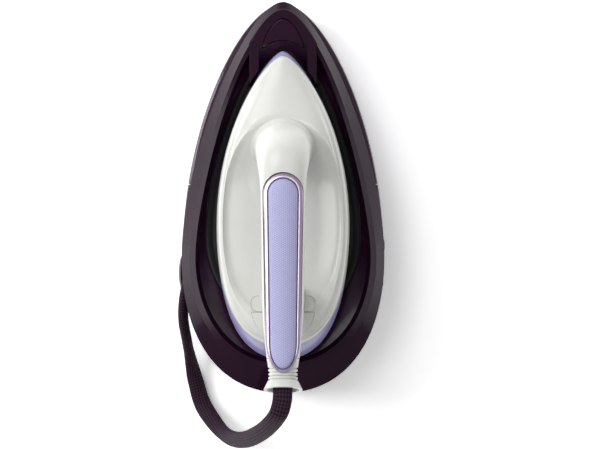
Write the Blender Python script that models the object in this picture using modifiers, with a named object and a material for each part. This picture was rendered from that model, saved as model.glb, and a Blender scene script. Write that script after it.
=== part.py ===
"""A steam iron resting nose first on its base station, joined to it by a braided steam hose.

Metres, +Z up, +Y towards the nose, +X to the right of the user. The origin is on the table under the
middle of the base. The deck that the iron rests on falls towards the nose, so the iron's pieces are
modelled in their own frame, with the soleplate's lower face at height 0, and hang on a tilted empty.
"""
import math
from collections import namedtuple

import bmesh
import bpy
from mathutils import Matrix, Vector

# Driving dimensions of the base station.
DECK_TILT = math.radians(3.5)
SLOPE = math.tan(DECK_TILT)
GAP = 0.0003
PLATE_BOTTOM = 0.006
PLATE_TOP = 0.009
BELLY_HEIGHT = 0.040
BASE_TOP = 0.048
WALL = 0.0025
TANK_REAR = 0.0120
FLANGE_LEVEL = 0.0925
RIM_LEVEL = 0.0958
CHAMFER_LEVEL = 0.1100
TRAY_LEVEL = 0.0990
SOLE_LEVEL = 0.1040

# Driving dimensions of the hose: an oval of this width and thickness.
HOSE_WIDTH = 0.0165
HOSE_THICKNESS = 0.0090
HOSE_TUBE_RADIUS = 0.0060
GROOVE_MID = 0.0058

# Heights in the iron's own frame.
SOLE_THICKNESS = 0.0040
SKIRT_TOP = 0.0112
HANDLE_RECESS = 0.0065
RING_HEIGHT = 0.0042
GRIP_HEIGHT = 0.0062

# Resolution: points on a quarter of an outline, and sides of a section swept along a path.
QUARTER_STEPS = 10
SECTION_SIDES = 16

# An outline is a drop shape: two cubic curves for its front and rear, mirrored in the plane x = 0.
Outline = namedtuple("Outline", "nose tail half wide nose_pull flank_pull back_pull tail_pull")
BELLY = Outline(0.1840, -0.1775, 0.0955, -0.0550, 0.40, 0.53, 0.48, 0.74)
RIM = Outline(0.1800, -0.1795, 0.0929, -0.0560, 0.34, 0.42, 0.50, 0.72)
CHAMFER_OUT = Outline(0.1650, -0.1567, 0.0850, -0.0570, 0.42, 0.40, 0.56, 0.62)
CHAMFER_IN = Outline(0.1586, -0.1521, 0.0797, -0.0550, 0.42, 0.40, 0.56, 0.62)
TRAY = Outline(0.1433, -0.1116, 0.0710, -0.0360, 0.36, 0.42, 0.30, 0.86)
WAIST = Outline(0.1180, -0.1560, 0.0710, -0.0550, 0.80, 0.42, 0.50, 0.72)
SOLE = Outline(0.1300, -0.1300, 0.0560, -0.0280, 0.26, 0.60, 0.50, 0.72)
LAVENDER = Outline(0.1320, -0.1485, 0.0600, -0.0280, 0.24, 0.60, 0.44, 0.84)
WHITE = Outline(0.1255, -0.1370, 0.0598, -0.0280, 0.24, 0.60, 0.52, 0.76)
DISH = Outline(0.0650, -0.1100, 0.0536, -0.0250, 0.62, 0.60, 0.62, 0.74)
DISH_FLOOR = Outline(0.0050, -0.0600, 0.0236, -0.0250, 0.62, 0.60, 0.62, 0.74)

# Where things are.
LOCK_PIVOT = Vector((0.0, 0.1485, 0.1165))
DRAIN_CENTRE = Vector((-0.0953, -0.0720, 0.0260))
DRAIN_LAND = -0.0935
POWER_CENTRE = Vector((0.0970, -0.0460, 0.0290))
ECO_CENTRE = Vector((0.0958, -0.0800, 0.0290))
TRIGGER_PIVOT = Vector((0.0, 0.0080, 0.0970))
MAINS_INLET = Vector((0.0, -0.1740, 0.0240))
PIPE_RADIUS = 0.0032

# The hose is wound from the left flank forwards; fractions of one turn of the groove.
WINDING_START_Y = -0.0100
LOWER_TURN = (0.0, 0.90)
UPPER_TURN = (0.80, 1.76)
SOCKET_SPAN = (0.7615, 0.7980)
HOSE_ROUTE = [
    (0.0, -0.1536, 0.2252),
    (-0.0002, -0.1640, 0.2282),
    (-0.0010, -0.1760, 0.2296),
    (-0.0055, -0.1890, 0.2210),
    (-0.0185, -0.2070, 0.1750),
    (-0.0365, -0.2225, 0.1060),
    (-0.0550, -0.2245, 0.0460),
    (-0.0760, -0.2025, 0.0145),
    (-0.0846, -0.1765, 0.0125),
    (-0.0890, -0.1565, 0.0180),
    (-0.0920, -0.1365, 0.0300),
    (-0.0945, -0.1165, 0.0440),
    (-0.0935, -0.0970, 0.0540),
    (-0.0895, -0.0770, 0.0570),
    (-0.0840, -0.0550, 0.0570),
    (-0.0795, -0.0330, 0.0570),
]

# Lock bracket around the iron's nose, and its latch.
BRACKET_BOTTOM = 0.0898
BRACKET_TOP = 0.1165
BRACKET_HALF = 0.0305
BRACKET_REAR = 0.1010
BRACKET_SIDE_END = 0.1400
BRACKET_FRONT = 0.1713
BRACKET_FALL = 0.12
BUTTON_CLEAR_Y = 0.1430
POCKET_FLOOR = 0.0925
LATCH_BOTTOM = 0.1018
LATCH_TOP = 0.1045

# Places on the base: (x, y), but the pump's line is (x, z).
PUMP_LINE = (0.0250, 0.0215)
STEAM_RISER = (0.0180, -0.1050)
SCREW_PLACES = [(-0.055, -0.100), (0.055, -0.100), (-0.060, -0.015), (0.060, -0.015)]
FEET = {
    "foot_front_left": (-0.040, 0.095),
    "foot_front_right": (0.040, 0.095),
    "foot_rear_left": (-0.052, -0.130),
    "foot_rear_right": (0.052, -0.130),
}

# Sections of the handle, column and boot in the iron's frame: y, height, half width, half thickness.
HANDLE_STATIONS = [
    (0.0425, 0.0300, 0.0265, 0.0205),
    (0.0400, 0.0600, 0.0254, 0.0198),
    (0.0340, 0.0800, 0.0244, 0.0184),
    (0.0220, 0.0955, 0.0226, 0.0164),
    (0.0070, 0.1050, 0.0202, 0.0146),
    (-0.0150, 0.1092, 0.0190, 0.0138),
    (-0.0600, 0.1112, 0.0184, 0.0136),
    (-0.1050, 0.1122, 0.0177, 0.0134),
    (-0.1460, 0.1122, 0.0166, 0.0128),
]
COLUMN_STATIONS = [
    (-0.0960, 0.0300, 0.0175, 0.0150),
    (-0.0990, 0.0600, 0.0160, 0.0135),
    (-0.1110, 0.0850, 0.0150, 0.0130),
    (-0.1260, 0.1050, 0.0145, 0.0120),
]
BOOT_STATIONS = [
    (-0.1468, 0.1122, 0.0160, 0.0124),
    (-0.1540, 0.1121, 0.0156, 0.0120),
    (-0.1630, 0.1124, 0.0152, 0.0118),
    (-0.1700, 0.1134, 0.0160, 0.0128),
    (-0.1728, 0.1142, 0.0165, 0.0134),
]
TRIGGER_STATIONS = [
    (0.0110, 0.0965, 0.0074, 0.0028),
    (0.0060, 0.0958, 0.0077, 0.0036),
    (-0.0060, 0.0945, 0.0078, 0.0042),
    (-0.0180, 0.0945, 0.0078, 0.0040),
    (-0.0250, 0.0960, 0.0072, 0.0026),
]

# Path of the steam tube from the chamber up the rear column to the boot.
CHANNEL_PATH = [
    (0.0, -0.0800, 0.0220),
    (0.0, -0.0890, 0.0320),
    (0.0, -0.0960, 0.0480),
    (0.0, -0.1040, 0.0700),
    (0.0, -0.1180, 0.0930),
    (0.0, -0.1340, 0.1060),
    (0.0, -0.1480, 0.1105),
    (0.0, -0.1600, 0.1114),
]

# Grip and ring, seen from above: front, rear, front half width, rear half width.
RING_PLAN = (0.0110, -0.1600, 0.0172, 0.0148)
GRIP_PLAN = (0.0060, -0.1560, 0.0130, 0.0112)

PARTS = None
CUTTERS = None


def clear_scene():
    for item in list(bpy.data.objects):
        bpy.data.objects.remove(item, do_unlink=True)


def srgb(red, green, blue):
    """Scene-linear colour of an 8-bit screen colour."""
    values = []
    for channel in (red, green, blue):
        value = channel / 255.0
        values.append(value / 12.92 if value <= 0.04045 else ((value + 0.055) / 1.055) ** 2.4)
    return (*values, 1.0)


# Looks: colour, roughness, metallic.
GLOSSY_PURPLE = (srgb(71, 58, 68), 0.15, 0.0)
SMOKY_PLASTIC = (srgb(88, 76, 86), 0.10, 0.0)
DARK_PLASTIC = (srgb(35, 32, 35), 0.45, 0.0)
WHITE_PLASTIC = (srgb(250, 250, 244), 0.18, 0.0)
LAVENDER_PLASTIC = (srgb(187, 183, 224), 0.25, 0.0)
MAUVE_METAL = (srgb(190, 172, 196), 0.25, 0.9)
GRIP_RUBBER = (srgb(196, 196, 228), 0.55, 0.0)
BLACK_RUBBER = (srgb(28, 27, 29), 0.70, 0.0)
GREY_SILICONE = (srgb(90, 88, 92), 0.65, 0.0)
STEEL = (srgb(190, 192, 196), 0.30, 1.0)
CAST_ALUMINIUM = (srgb(150, 152, 155), 0.55, 1.0)
BRASS = (srgb(190, 160, 96), 0.35, 1.0)
BOARD_GREEN = (srgb(34, 92, 60), 0.50, 0.0)
HOSE_BRAID = (srgb(54, 42, 52), 0.75, 0.0)
LIGHT_LENS = (srgb(214, 226, 240), 0.20, 0.0)


def give_look(item, look):
    """A Principled material of the object's own."""
    colour, roughness, metallic = look
    material = bpy.data.materials.new(item.name)
    material.use_nodes = True
    shader = material.node_tree.nodes["Principled BSDF"]
    shader.inputs["Base Color"].default_value = colour
    shader.inputs["Roughness"].default_value = roughness
    shader.inputs["Metallic"].default_value = metallic
    material.diffuse_color = colour
    item.data.materials.append(material)


def place(name, data, collection, frame=None, pivot=None):
    """An object in a collection, hung on a frame, with its origin at the pivot."""
    item = bpy.data.objects.new(name, data)
    collection.objects.link(item)
    if pivot is not None:
        data.transform(Matrix.Translation(-Vector(pivot)))
        item.location = pivot
    if frame is not None:
        item.parent = frame
    return item


def mesh_from(bm, name):
    bmesh.ops.recalc_face_normals(bm, faces=bm.faces)
    mesh = bpy.data.meshes.new(name)
    bm.to_mesh(mesh)
    bm.free()
    return mesh


def part(name, bm, look, frame=None, pivot=None, sharp=35.0):
    """A named sub-part from a bmesh."""
    mesh = mesh_from(bm, name)
    mesh.shade_smooth()
    mesh.set_sharp_from_angle(angle=math.radians(sharp))
    item = place(name, mesh, PARTS, frame, pivot)
    give_look(item, look)
    return item


def cutter(name, bm, frame=None):
    """A hidden guide solid for a Boolean."""
    item = place(name, mesh_from(bm, name), CUTTERS, frame)
    item.hide_render = True
    item.display_type = "WIRE"
    return item


def boolean(item, tool, operation="DIFFERENCE"):
    modifier = item.modifiers.new(operation.lower() + "_" + tool.name, "BOOLEAN")
    modifier.operation = operation
    modifier.solver = "EXACT"
    modifier.object = tool


def bevel(item, width, segments=1):
    modifier = item.modifiers.new("rounded_edges", "BEVEL")
    modifier.width = width
    modifier.segments = segments
    modifier.limit_method = "ANGLE"
    modifier.angle_limit = math.radians(50.0)


def box(low, high, turn=0.0):
    """A box between two corners, turned about the vertical through its middle."""
    low = Vector(low)
    high = Vector(high)
    middle = (low + high) / 2.0
    size = high - low
    matrix = Matrix.Translation(middle) @ Matrix.Rotation(turn, 4, "Z") @ Matrix.Diagonal((*size, 1.0))
    bm = bmesh.new()
    bmesh.ops.create_cube(bm, size=1.0, matrix=matrix)
    return bm


def rod(start, end, radius, end_radius=None, sides=16):
    """A round bar or cone between two points."""
    start = Vector(start)
    end = Vector(end)
    direction = end - start
    turn = Vector((0.0, 0.0, 1.0)).rotation_difference(direction).to_matrix().to_4x4()
    matrix = Matrix.Translation((start + end) / 2.0) @ turn
    top_radius = radius if end_radius is None else end_radius
    bm = bmesh.new()
    bmesh.ops.create_cone(bm, cap_ends=True, segments=sides, radius1=radius, radius2=top_radius,
                          depth=direction.length, matrix=matrix)
    return bm


def several(shapes):
    """One bmesh of separate solids."""
    whole = bmesh.new()
    for shape in shapes:
        mesh = bpy.data.meshes.new("piece")
        shape.to_mesh(mesh)
        shape.free()
        whole.from_mesh(mesh)
        bpy.data.meshes.remove(mesh)
    return whole


def cubic(controls, t):
    """A point of a cubic Bezier curve in the plane."""
    u = 1.0 - t
    weights = (u ** 3, 3.0 * u * u * t, 3.0 * u * t * t, t ** 3)
    x = sum(weight * control[0] for weight, control in zip(weights, controls))
    y = sum(weight * control[1] for weight, control in zip(weights, controls))
    return x, y


def grow(outline, margin):
    return outline._replace(nose=outline.nose + margin, tail=outline.tail - margin, half=outline.half + margin)


def mix(first, second, share):
    """The outline between two others."""
    return Outline(*(a + (b - a) * share for a, b in zip(first, second)))


def outline_points(outline, steps=QUARTER_STEPS):
    """Anticlockwise from the nose: left flank, tail, right flank."""
    nose, tail, half, wide, nose_pull, flank_pull, back_pull, tail_pull = outline
    front = ((0.0, nose), (-nose_pull * half, nose), (-half, wide + flank_pull * (nose - wide)), (-half, wide))
    rear = ((-half, wide), (-half, wide - back_pull * (wide - tail)), (-tail_pull * half, tail), (0.0, tail))
    left = [cubic(front, i / steps) for i in range(steps)]
    left += [cubic(rear, i / steps) for i in range(steps + 1)]
    right = [(-x, y) for x, y in reversed(left[1:-1])]
    return left + right


def ring(outline, height, slope=0.0):
    """The outline's points at a height, which may be a function of y, on a plane that may fall forwards."""
    points = []
    for x, y in outline_points(outline):
        level = height(y) if callable(height) else height
        points.append(Vector((x, y, level - slope * y)))
    return points


def skin(rings, closed=False):
    """A solid over a stack of rings; closed joins the last ring to the first, as on a hollow band."""
    bm = bmesh.new()
    rows = [[bm.verts.new(point) for point in points] for points in rings]
    count = len(rows[0])
    pairs = list(zip(rows, rows[1:]))
    if closed:
        pairs.append((rows[-1], rows[0]))
    for lower, upper in pairs:
        for i in range(count):
            j = (i + 1) % count
            bm.faces.new((lower[i], lower[j], upper[j], upper[i]))
    if not closed:
        bm.faces.new(list(reversed(rows[0])))
        bm.faces.new(rows[-1])
    return bm


def smooth(value):
    """Smooth step from 0 to 1."""
    value = min(max(value, 0.0), 1.0)
    return value * value * (3.0 - 2.0 * value)


def through(points, count):
    """Evenly counted points of a smooth curve through points of any size (Catmull-Rom)."""
    points = [tuple(point) for point in points]
    ends = [tuple(2 * a - b for a, b in zip(points[0], points[1]))]
    ends.append(tuple(2 * a - b for a, b in zip(points[-1], points[-2])))
    chain = [ends[0]] + points + [ends[1]]
    result = []
    for step in range(count):
        place_on = step * (len(points) - 1) / (count - 1)
        index = min(int(place_on), len(points) - 2)
        t = place_on - index
        before, first, second, after = chain[index:index + 4]
        values = []
        for a, b, c, d in zip(before, first, second, after):
            values.append(0.5 * (2 * b + (c - a) * t + (2 * a - 5 * b + 4 * c - d) * t * t
                                 + (3 * b - a - 3 * c + d) * t ** 3))
        result.append(tuple(values))
    return result


def upright_sweep(stations, count, power=2.5, sides=SECTION_SIDES):
    """Rings of rounded sections along a path in the plane x = 0.

    A station is y, height, half width and half thickness. Each ring is square to the path.
    """
    samples = through(stations, count)
    rings = []
    for index, (y, height, half_width, half_thickness) in enumerate(samples):
        ahead = samples[min(index + 1, count - 1)]
        behind = samples[max(index - 1, 0)]
        along = Vector((0.0, ahead[0] - behind[0], ahead[1] - behind[1])).normalized()
        across = Vector((1.0, 0.0, 0.0))
        up = across.cross(along)
        points = []
        for side in range(sides):
            angle = 2.0 * math.pi * side / sides
            cosine = math.copysign(abs(math.cos(angle)) ** (2.0 / power), math.cos(angle))
            sine = math.copysign(abs(math.sin(angle)) ** (2.0 / power), math.sin(angle))
            points.append(Vector((0.0, y, height)) + across * (half_width * cosine)
                          + up * (half_thickness * sine))
        rings.append(points)
    return rings


def tube(name, points, radius, look=None, frame=None, resolution=2):
    """A round tube along points as a curve object; look None makes it a plain guide."""
    curve = bpy.data.curves.new(name, "CURVE")
    curve.dimensions = "3D"
    curve.bevel_depth = radius
    curve.bevel_resolution = resolution
    curve.use_fill_caps = True
    spline = curve.splines.new("POLY")
    spline.points.add(len(points) - 1)
    for target, point in zip(spline.points, points):
        target.co = (*point, 1.0)
    item = place(name, curve, PARTS if look else CUTTERS, frame)
    if look:
        give_look(item, look)
    return item


def tube_cutter(name, points, radius, frame=None):
    """A tube made a closed mesh, so that it can cut."""
    guide = tube(name + "_path", points, radius, frame=frame)
    bpy.context.view_layer.update()
    evaluated = guide.evaluated_get(bpy.context.evaluated_depsgraph_get())
    mesh = bpy.data.meshes.new_from_object(evaluated)
    bm = bmesh.new()
    bm.from_mesh(mesh)
    bmesh.ops.remove_doubles(bm, verts=bm.verts, dist=0.00001)
    bpy.data.meshes.remove(mesh)
    item = cutter(name, bm)
    item.matrix_world = guide.matrix_world.copy()
    bpy.data.objects.remove(guide, do_unlink=True)
    return item


def helix(centre, radius, bottom, top, turns, per_turn=8):
    points = []
    count = int(turns * per_turn)
    for step in range(count + 1):
        angle = 2.0 * math.pi * step / per_turn
        height = bottom + (top - bottom) * step / count
        points.append((centre[0] + radius * math.cos(angle), centre[1] + radius * math.sin(angle), height))
    return points


def turned(name, profile, look, matrix, steps=24):
    """A turned shape: the profile runs down its outer side, and turns about its own Z axis."""
    mesh = bpy.data.meshes.new(name)
    vertices = [(radius, 0.0, height) for radius, height in profile]
    edges = [(i, i + 1) for i in range(len(profile) - 1)]
    mesh.from_pydata(vertices, edges, [])
    item = place(name, mesh, PARTS)
    item.matrix_world = matrix
    screw = item.modifiers.new("turned", "SCREW")
    screw.axis = "Z"
    screw.steps = steps
    screw.render_steps = steps
    screw.use_merge_vertices = True
    screw.merge_threshold = 0.00001
    screw.use_smooth_shade = True
    give_look(item, look)
    return item


# The groove under the collar, as a path that the wound hose follows.
def groove_path():
    """Points and running lengths of the groove's centre line, clockwise from the left flank."""
    wall = list(reversed(outline_points(WAIST, 2 * QUARTER_STEPS)))
    loop = []
    for index, (x, y) in enumerate(wall):
        before = wall[index - 1]
        after = wall[(index + 1) % len(wall)]
        along = Vector((after[0] - before[0], after[1] - before[1])).normalized()
        loop.append((x - along.y * GROOVE_MID, y + along.x * GROOVE_MID))
    left = [i for i in range(len(loop)) if loop[i][0] < 0.0]
    start = min(left, key=lambda i: abs(loop[i][1] - WINDING_START_Y))
    loop = loop[start:] + loop[:start + 1]
    lengths = [0.0]
    for (x0, y0), (x1, y1) in zip(loop, loop[1:]):
        lengths.append(lengths[-1] + math.hypot(x1 - x0, y1 - y0))
    return loop, lengths


def groove_point(fraction):
    """Place and sideways direction (outwards) on the centre line, at a fraction of one turn."""
    loop, lengths = groove_path()
    distance = (fraction % 1.0) * lengths[-1]
    index = max(i for i in range(len(lengths) - 1) if lengths[i] <= distance)
    share = (distance - lengths[index]) / (lengths[index + 1] - lengths[index])
    here = Vector(loop[index]).lerp(Vector(loop[index + 1]), share)
    behind = Vector(loop[index - 1]) if index else Vector(loop[-2])
    ahead = Vector(loop[index + 2]) if index + 2 < len(loop) else Vector(loop[1])
    first = (Vector(loop[index + 1]) - behind).normalized()
    second = (ahead - Vector(loop[index])).normalized()
    along = first.lerp(second, share).normalized()
    return here, Vector((-along.y, along.x))


def groove_band(span, bottom, top, half, steps):
    """A flat-sided solid along a stretch of the groove."""
    rings = []
    for step in range(steps + 1):
        here, outwards = groove_point(span[0] + (span[1] - span[0]) * step / steps)
        inner = here - outwards * half
        outer = here + outwards * half
        rings.append([Vector((*inner, bottom)), Vector((*inner, top)), Vector((*outer, top)),
                      Vector((*outer, bottom))])
    return skin(rings)


# Lower base: plate, rear body and water tank.
def lower_rings(inset, bottom, top):
    """The flared side of the base, from its plate to the groove's floor."""
    return [
        ring(grow(BELLY, -0.0120 - inset), bottom),
        ring(grow(BELLY, -0.0042 - inset), 0.0200),
        ring(grow(BELLY, -inset), BELLY_HEIGHT),
        ring(grow(BELLY, -0.0012 - inset), top - 0.0020),
        ring(grow(BELLY, -0.0036 - inset), top),
    ]


def base_plate():
    foot = grow(BELLY, -0.0135)
    rings = [ring(grow(foot, -0.0015), PLATE_BOTTOM), ring(foot, PLATE_BOTTOM + 0.0012), ring(foot, PLATE_TOP)]
    bm = skin(rings)
    item = part("base_plate", bm, DARK_PLASTIC)
    holes = [rod((x, y, 0.0), (x, y, 0.012), 0.0021, sides=10) for x, y in SCREW_PLACES]
    boolean(item, cutter("plate_screw_holes", several(holes)))


def feet():
    for name, (x, y) in FEET.items():
        bm = rod((x, y, 0.0), (x, y, PLATE_BOTTOM - GAP), 0.0080, 0.0092, sides=20)
        part(name, bm, BLACK_RUBBER)


def base_screws():
    for number, (x, y) in enumerate(SCREW_PLACES, start=1):
        profile = [(0.0, PLATE_TOP - 0.0004), (0.0016, PLATE_TOP - 0.0004), (0.0016, PLATE_BOTTOM - GAP),
                   (0.0036, PLATE_BOTTOM - GAP), (0.0036, PLATE_BOTTOM - 0.0014), (0.0030, PLATE_BOTTOM - 0.0022),
                   (0.0, PLATE_BOTTOM - 0.0022)]
        turned("base_screw_%d" % number, profile, STEEL, Matrix.Translation((x, y, 0.0)), steps=10)


def base_body():
    """Rear casing over the boiler and the pump, open below."""
    item = part("base_body", skin(lower_rings(0.0, PLATE_TOP + GAP, BASE_TOP)), DARK_PLASTIC)
    front = cutter("base_body_front", box((-0.2, TANK_REAR - GAP, -0.01), (0.2, 0.3, 0.1)))
    boolean(item, front)
    inside = cutter("base_body_inside", skin(lower_rings(WALL, 0.0, BASE_TOP - WALL)))
    boolean(inside, cutter("base_body_bulkhead", box((-0.2, TANK_REAR - GAP - WALL, -0.02), (0.2, 0.3, 0.1))))
    boolean(item, inside)
    x, y, z = DRAIN_CENTRE
    land = rod((DRAIN_LAND, y, z), (DRAIN_LAND - 0.02, y, z), 0.0176, sides=28)
    boolean(item, cutter("drain_recess", land))
    boolean(item, cutter("drain_hole", rod((x + 0.015, y, z), (x - 0.01, y, z), 0.0100, sides=20)))
    boolean(item, cutter("panel_opening", panel_box(GAP)))
    x, y, z = MAINS_INLET
    boolean(item, cutter("mains_hole", rod((x, y - 0.02, z), (x, y + 0.02, z), 0.0064)))
    x, z = PUMP_LINE
    suction = rod((x, TANK_REAR + 0.01, z), (x, TANK_REAR - 0.01, z), 0.0040, sides=12)
    boolean(item, cutter("suction_hole", suction))
    x, y = STEAM_RISER
    riser = rod((x, y, BASE_TOP - 0.01), (x, y, BASE_TOP + 0.01), 0.0042, sides=12)
    boolean(item, cutter("riser_hole", riser))


def door_frame():
    """Middle, turn and outward direction of the filler door, on the tank's right flank."""
    outline = grow(BELLY, -0.0025)
    points = outline_points(outline)
    index = len(points) - 7
    x, y = points[index]
    tangent = Vector(points[index + 1]) - Vector(points[index - 1])
    turn = math.atan2(tangent.y, tangent.x) - math.pi / 2.0
    return Vector((x, y, 0.0270)), turn


def door_box(margin):
    middle, turn = door_frame()
    half = Vector((0.0150, 0.0210 + margin, 0.0085 + margin))
    return box(middle - half, middle + half, turn)


def tank_solid(name, look):
    """The hollow front tank, with no mouth yet."""
    item = part(name, skin(lower_rings(0.0, PLATE_TOP + GAP, BASE_TOP)), look)
    boolean(item, bpy.data.objects["tank_rear"])
    boolean(item, bpy.data.objects["tank_inside"])
    return item


def water_tank():
    cutter("tank_rear", box((-0.2, -0.3, -0.02), (0.2, TANK_REAR + GAP, 0.1)))
    inside = cutter("tank_inside", skin(lower_rings(WALL, PLATE_TOP + WALL, BASE_TOP - WALL)))
    boolean(inside, cutter("tank_inside_rear", box((-0.2, -0.3, -0.02), (0.2, TANK_REAR + GAP + WALL, 0.1))))
    tank = tank_solid("water_tank", SMOKY_PLASTIC)
    boolean(tank, cutter("filler_mouth", door_box(0.0004)))
    x, z = PUMP_LINE
    valve = rod((x, TANK_REAR - 0.005, z), (x, TANK_REAR + 0.008, z), 0.0036, sides=12)
    boolean(tank, cutter("valve_hole", valve))
    door = tank_solid("tank_filler_door", SMOKY_PLASTIC)
    boolean(door, cutter("filler_door_shape", door_box(0.0)), "INTERSECT")
    middle, turn = door_frame()
    hinge = middle + Matrix.Rotation(turn, 3, "Z") @ Vector((-0.0014, 0.0, -0.0085))
    door.data.transform(Matrix.Translation(-hinge))
    door.location = hinge


def tank_valve():
    """Rubber valve in the tank's rear wall, where the pump draws water."""
    x, z = PUMP_LINE
    y = TANK_REAR + GAP + WALL + GAP
    item = part("tank_valve", rod((x, y, z), (x, y + 0.0060, z), 0.0070, 0.0050), BLACK_RUBBER)
    snout = rod((x, TANK_REAR + 2.0 * GAP, z), (x, y + 0.0030, z), 0.0030, sides=12)
    boolean(item, cutter("valve_snout", snout), "UNION")


def inner_works():
    """Pump, pipes, boiler and circuit board on the base plate."""
    x, z = PUMP_LINE
    pump = part("pump", rod((x, -0.0550, z), (x, -0.0200, z), 0.0115, sides=20), DARK_PLASTIC)
    boolean(pump, cutter("pump_head", rod((x, -0.0205, z), (x, -0.0120, z), 0.0080)), "UNION")
    suction = rod((x, -0.0120 + GAP, z), (x, TANK_REAR - 3.0 * GAP, z), PIPE_RADIUS, sides=12)
    part("suction_pipe", suction, GREY_SILICONE)
    pressure = rod((x, -0.0885, z), (x, -0.0550 - GAP, z), PIPE_RADIUS, sides=12)
    part("pressure_pipe", pressure, GREY_SILICONE)
    x, y = STEAM_RISER
    turn = Matrix.Translation((0.0, y, 0.0275)) @ Matrix.Rotation(math.pi / 2.0, 4, "Y")
    profile = [(0.0, 0.0520), (0.0090, 0.0505), (0.0145, 0.0460), (0.0162, 0.0400), (0.0162, -0.0400),
               (0.0145, -0.0460), (0.0090, -0.0505), (0.0, -0.0520)]
    turned("boiler", profile, CAST_ALUMINIUM, turn, steps=20)
    board = part("circuit_board", box((-0.0620, -0.0620, 0.0110), (-0.0100, -0.0080, 0.0126)), BOARD_GREEN)
    blocks = [box((-0.0560, -0.0560, 0.0120), (-0.0400, -0.0380, 0.0240)),
              box((-0.0340, -0.0300, 0.0120), (-0.0160, -0.0140, 0.0200)),
              rod((-0.0250, -0.0480, 0.0120), (-0.0250, -0.0480, 0.0290), 0.0060, sides=12)]
    boolean(board, cutter("board_parts", several(blocks)), "UNION")


def drain():
    """Boiler drain plug in the left side, and the knob that turns it."""
    x, y, z = DRAIN_CENTRE
    shaft = rod((x - GAP, y, z), (x + 0.0300, y, z), 0.0092, 0.0080, sides=20)
    part("drain_plug", shaft, BLACK_RUBBER, pivot=DRAIN_CENTRE)
    top = 0.0045
    curve_radius = 0.0414
    profile = [(0.0, top)]
    for step in range(1, 6):
        angle = math.radians(4.6 * step)
        profile.append((curve_radius * math.sin(angle), top - curve_radius * (1.0 - math.cos(angle))))
    profile += [(0.0166, 0.0010), (0.0162, 0.0006), (0.0, 0.0006)]
    turn = Matrix.Translation((x, y, z)) @ Matrix.Rotation(-math.pi / 2.0, 4, "Y")
    turned("drain_knob", profile, DARK_PLASTIC, turn, steps=28)


def panel_box(margin):
    return box((0.0800, -0.0950 - margin, 0.0165 - margin), (0.1200, -0.0300 + margin, 0.0385 + margin))


def control_panel():
    """Panel in the right side, with two buttons and two lights."""
    panel = part("control_panel", skin(lower_rings(0.0, PLATE_TOP + GAP, BASE_TOP)), GLOSSY_PURPLE)
    boolean(panel, cutter("panel_inside", skin(lower_rings(WALL, 0.0, BASE_TOP - WALL))))
    boolean(panel, cutter("panel_shape", panel_box(0.0)), "INTERSECT")
    buttons = (("power_button", POWER_CENTRE, 0.0058), ("eco_button", ECO_CENTRE, 0.0048))
    for name, centre, radius in buttons:
        inner = centre - Vector((0.0095, 0.0, 0.0))
        outer = centre + Vector((0.0100, 0.0, 0.0))
        boolean(panel, cutter(name + "_hole", rod(inner, outer, radius + 0.0004, sides=20)))
        button = part(name, rod(inner, centre, radius, sides=20), GLOSSY_PURPLE, pivot=centre)
        bevel(button, 0.0008)
    for name, y in (("steam_light", -0.0590), ("descale_light", -0.0670)):
        inner = Vector((0.0900, y, 0.0290))
        outer = Vector((0.0946, y, 0.0290))
        hole = rod(inner, outer + Vector((0.01, 0.0, 0.0)), 0.0021, sides=12)
        boolean(panel, cutter(name + "_hole", hole))
        part(name, rod(inner, outer, 0.0018, sides=12), LIGHT_LENS)


def mains_inlet():
    """Bushing for the mains lead at the tail."""
    x, y, z = MAINS_INLET
    item = part("mains_inlet", rod((x, y + 0.0080, z), (x, -0.1840, z), 0.0060, 0.0056), BLACK_RUBBER)
    hole = rod((x, y - 0.0300, z), (x, y + 0.0200, z), 0.0034, sides=12)
    boolean(item, cutter("mains_lead_hole", hole))


# Upper base: groove wall, collar, tray, pads and carrying lock.
def winding_wall():
    """Inner wall of the hose groove."""
    inner = grow(WAIST, -0.0030)
    top = FLANGE_LEVEL - GAP
    rings = [
        ring(WAIST, BASE_TOP + GAP),
        ring(WAIST, top, SLOPE),
        ring(inner, top, SLOPE),
        ring(inner, BASE_TOP + GAP),
    ]
    item = part("winding_wall", skin(rings, closed=True), DARK_PLASTIC)
    here, outwards = groove_point(sum(SOCKET_SPAN) / 2.0)
    start = here - outwards * 0.0200
    end = here + outwards * 0.0005
    height = BASE_TOP + HOSE_WIDTH * 1.5
    boolean(item, cutter("steam_line_hole", rod((*start, height), (*end, height), 0.0042, sides=12)))


def groove_flange():
    """Ledge over the wound hose, between the wall and the collar."""
    edge = grow(RIM, -0.0015)
    inner = grow(WAIST, -0.0030)
    rings = [
        ring(inner, FLANGE_LEVEL, SLOPE),
        ring(WAIST, FLANGE_LEVEL, SLOPE),
        ring(edge, FLANGE_LEVEL + 0.0010, SLOPE),
        ring(edge, RIM_LEVEL - GAP, SLOPE),
        ring(inner, RIM_LEVEL - GAP, SLOPE),
    ]
    part("groove_flange", skin(rings, closed=True), DARK_PLASTIC)


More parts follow.
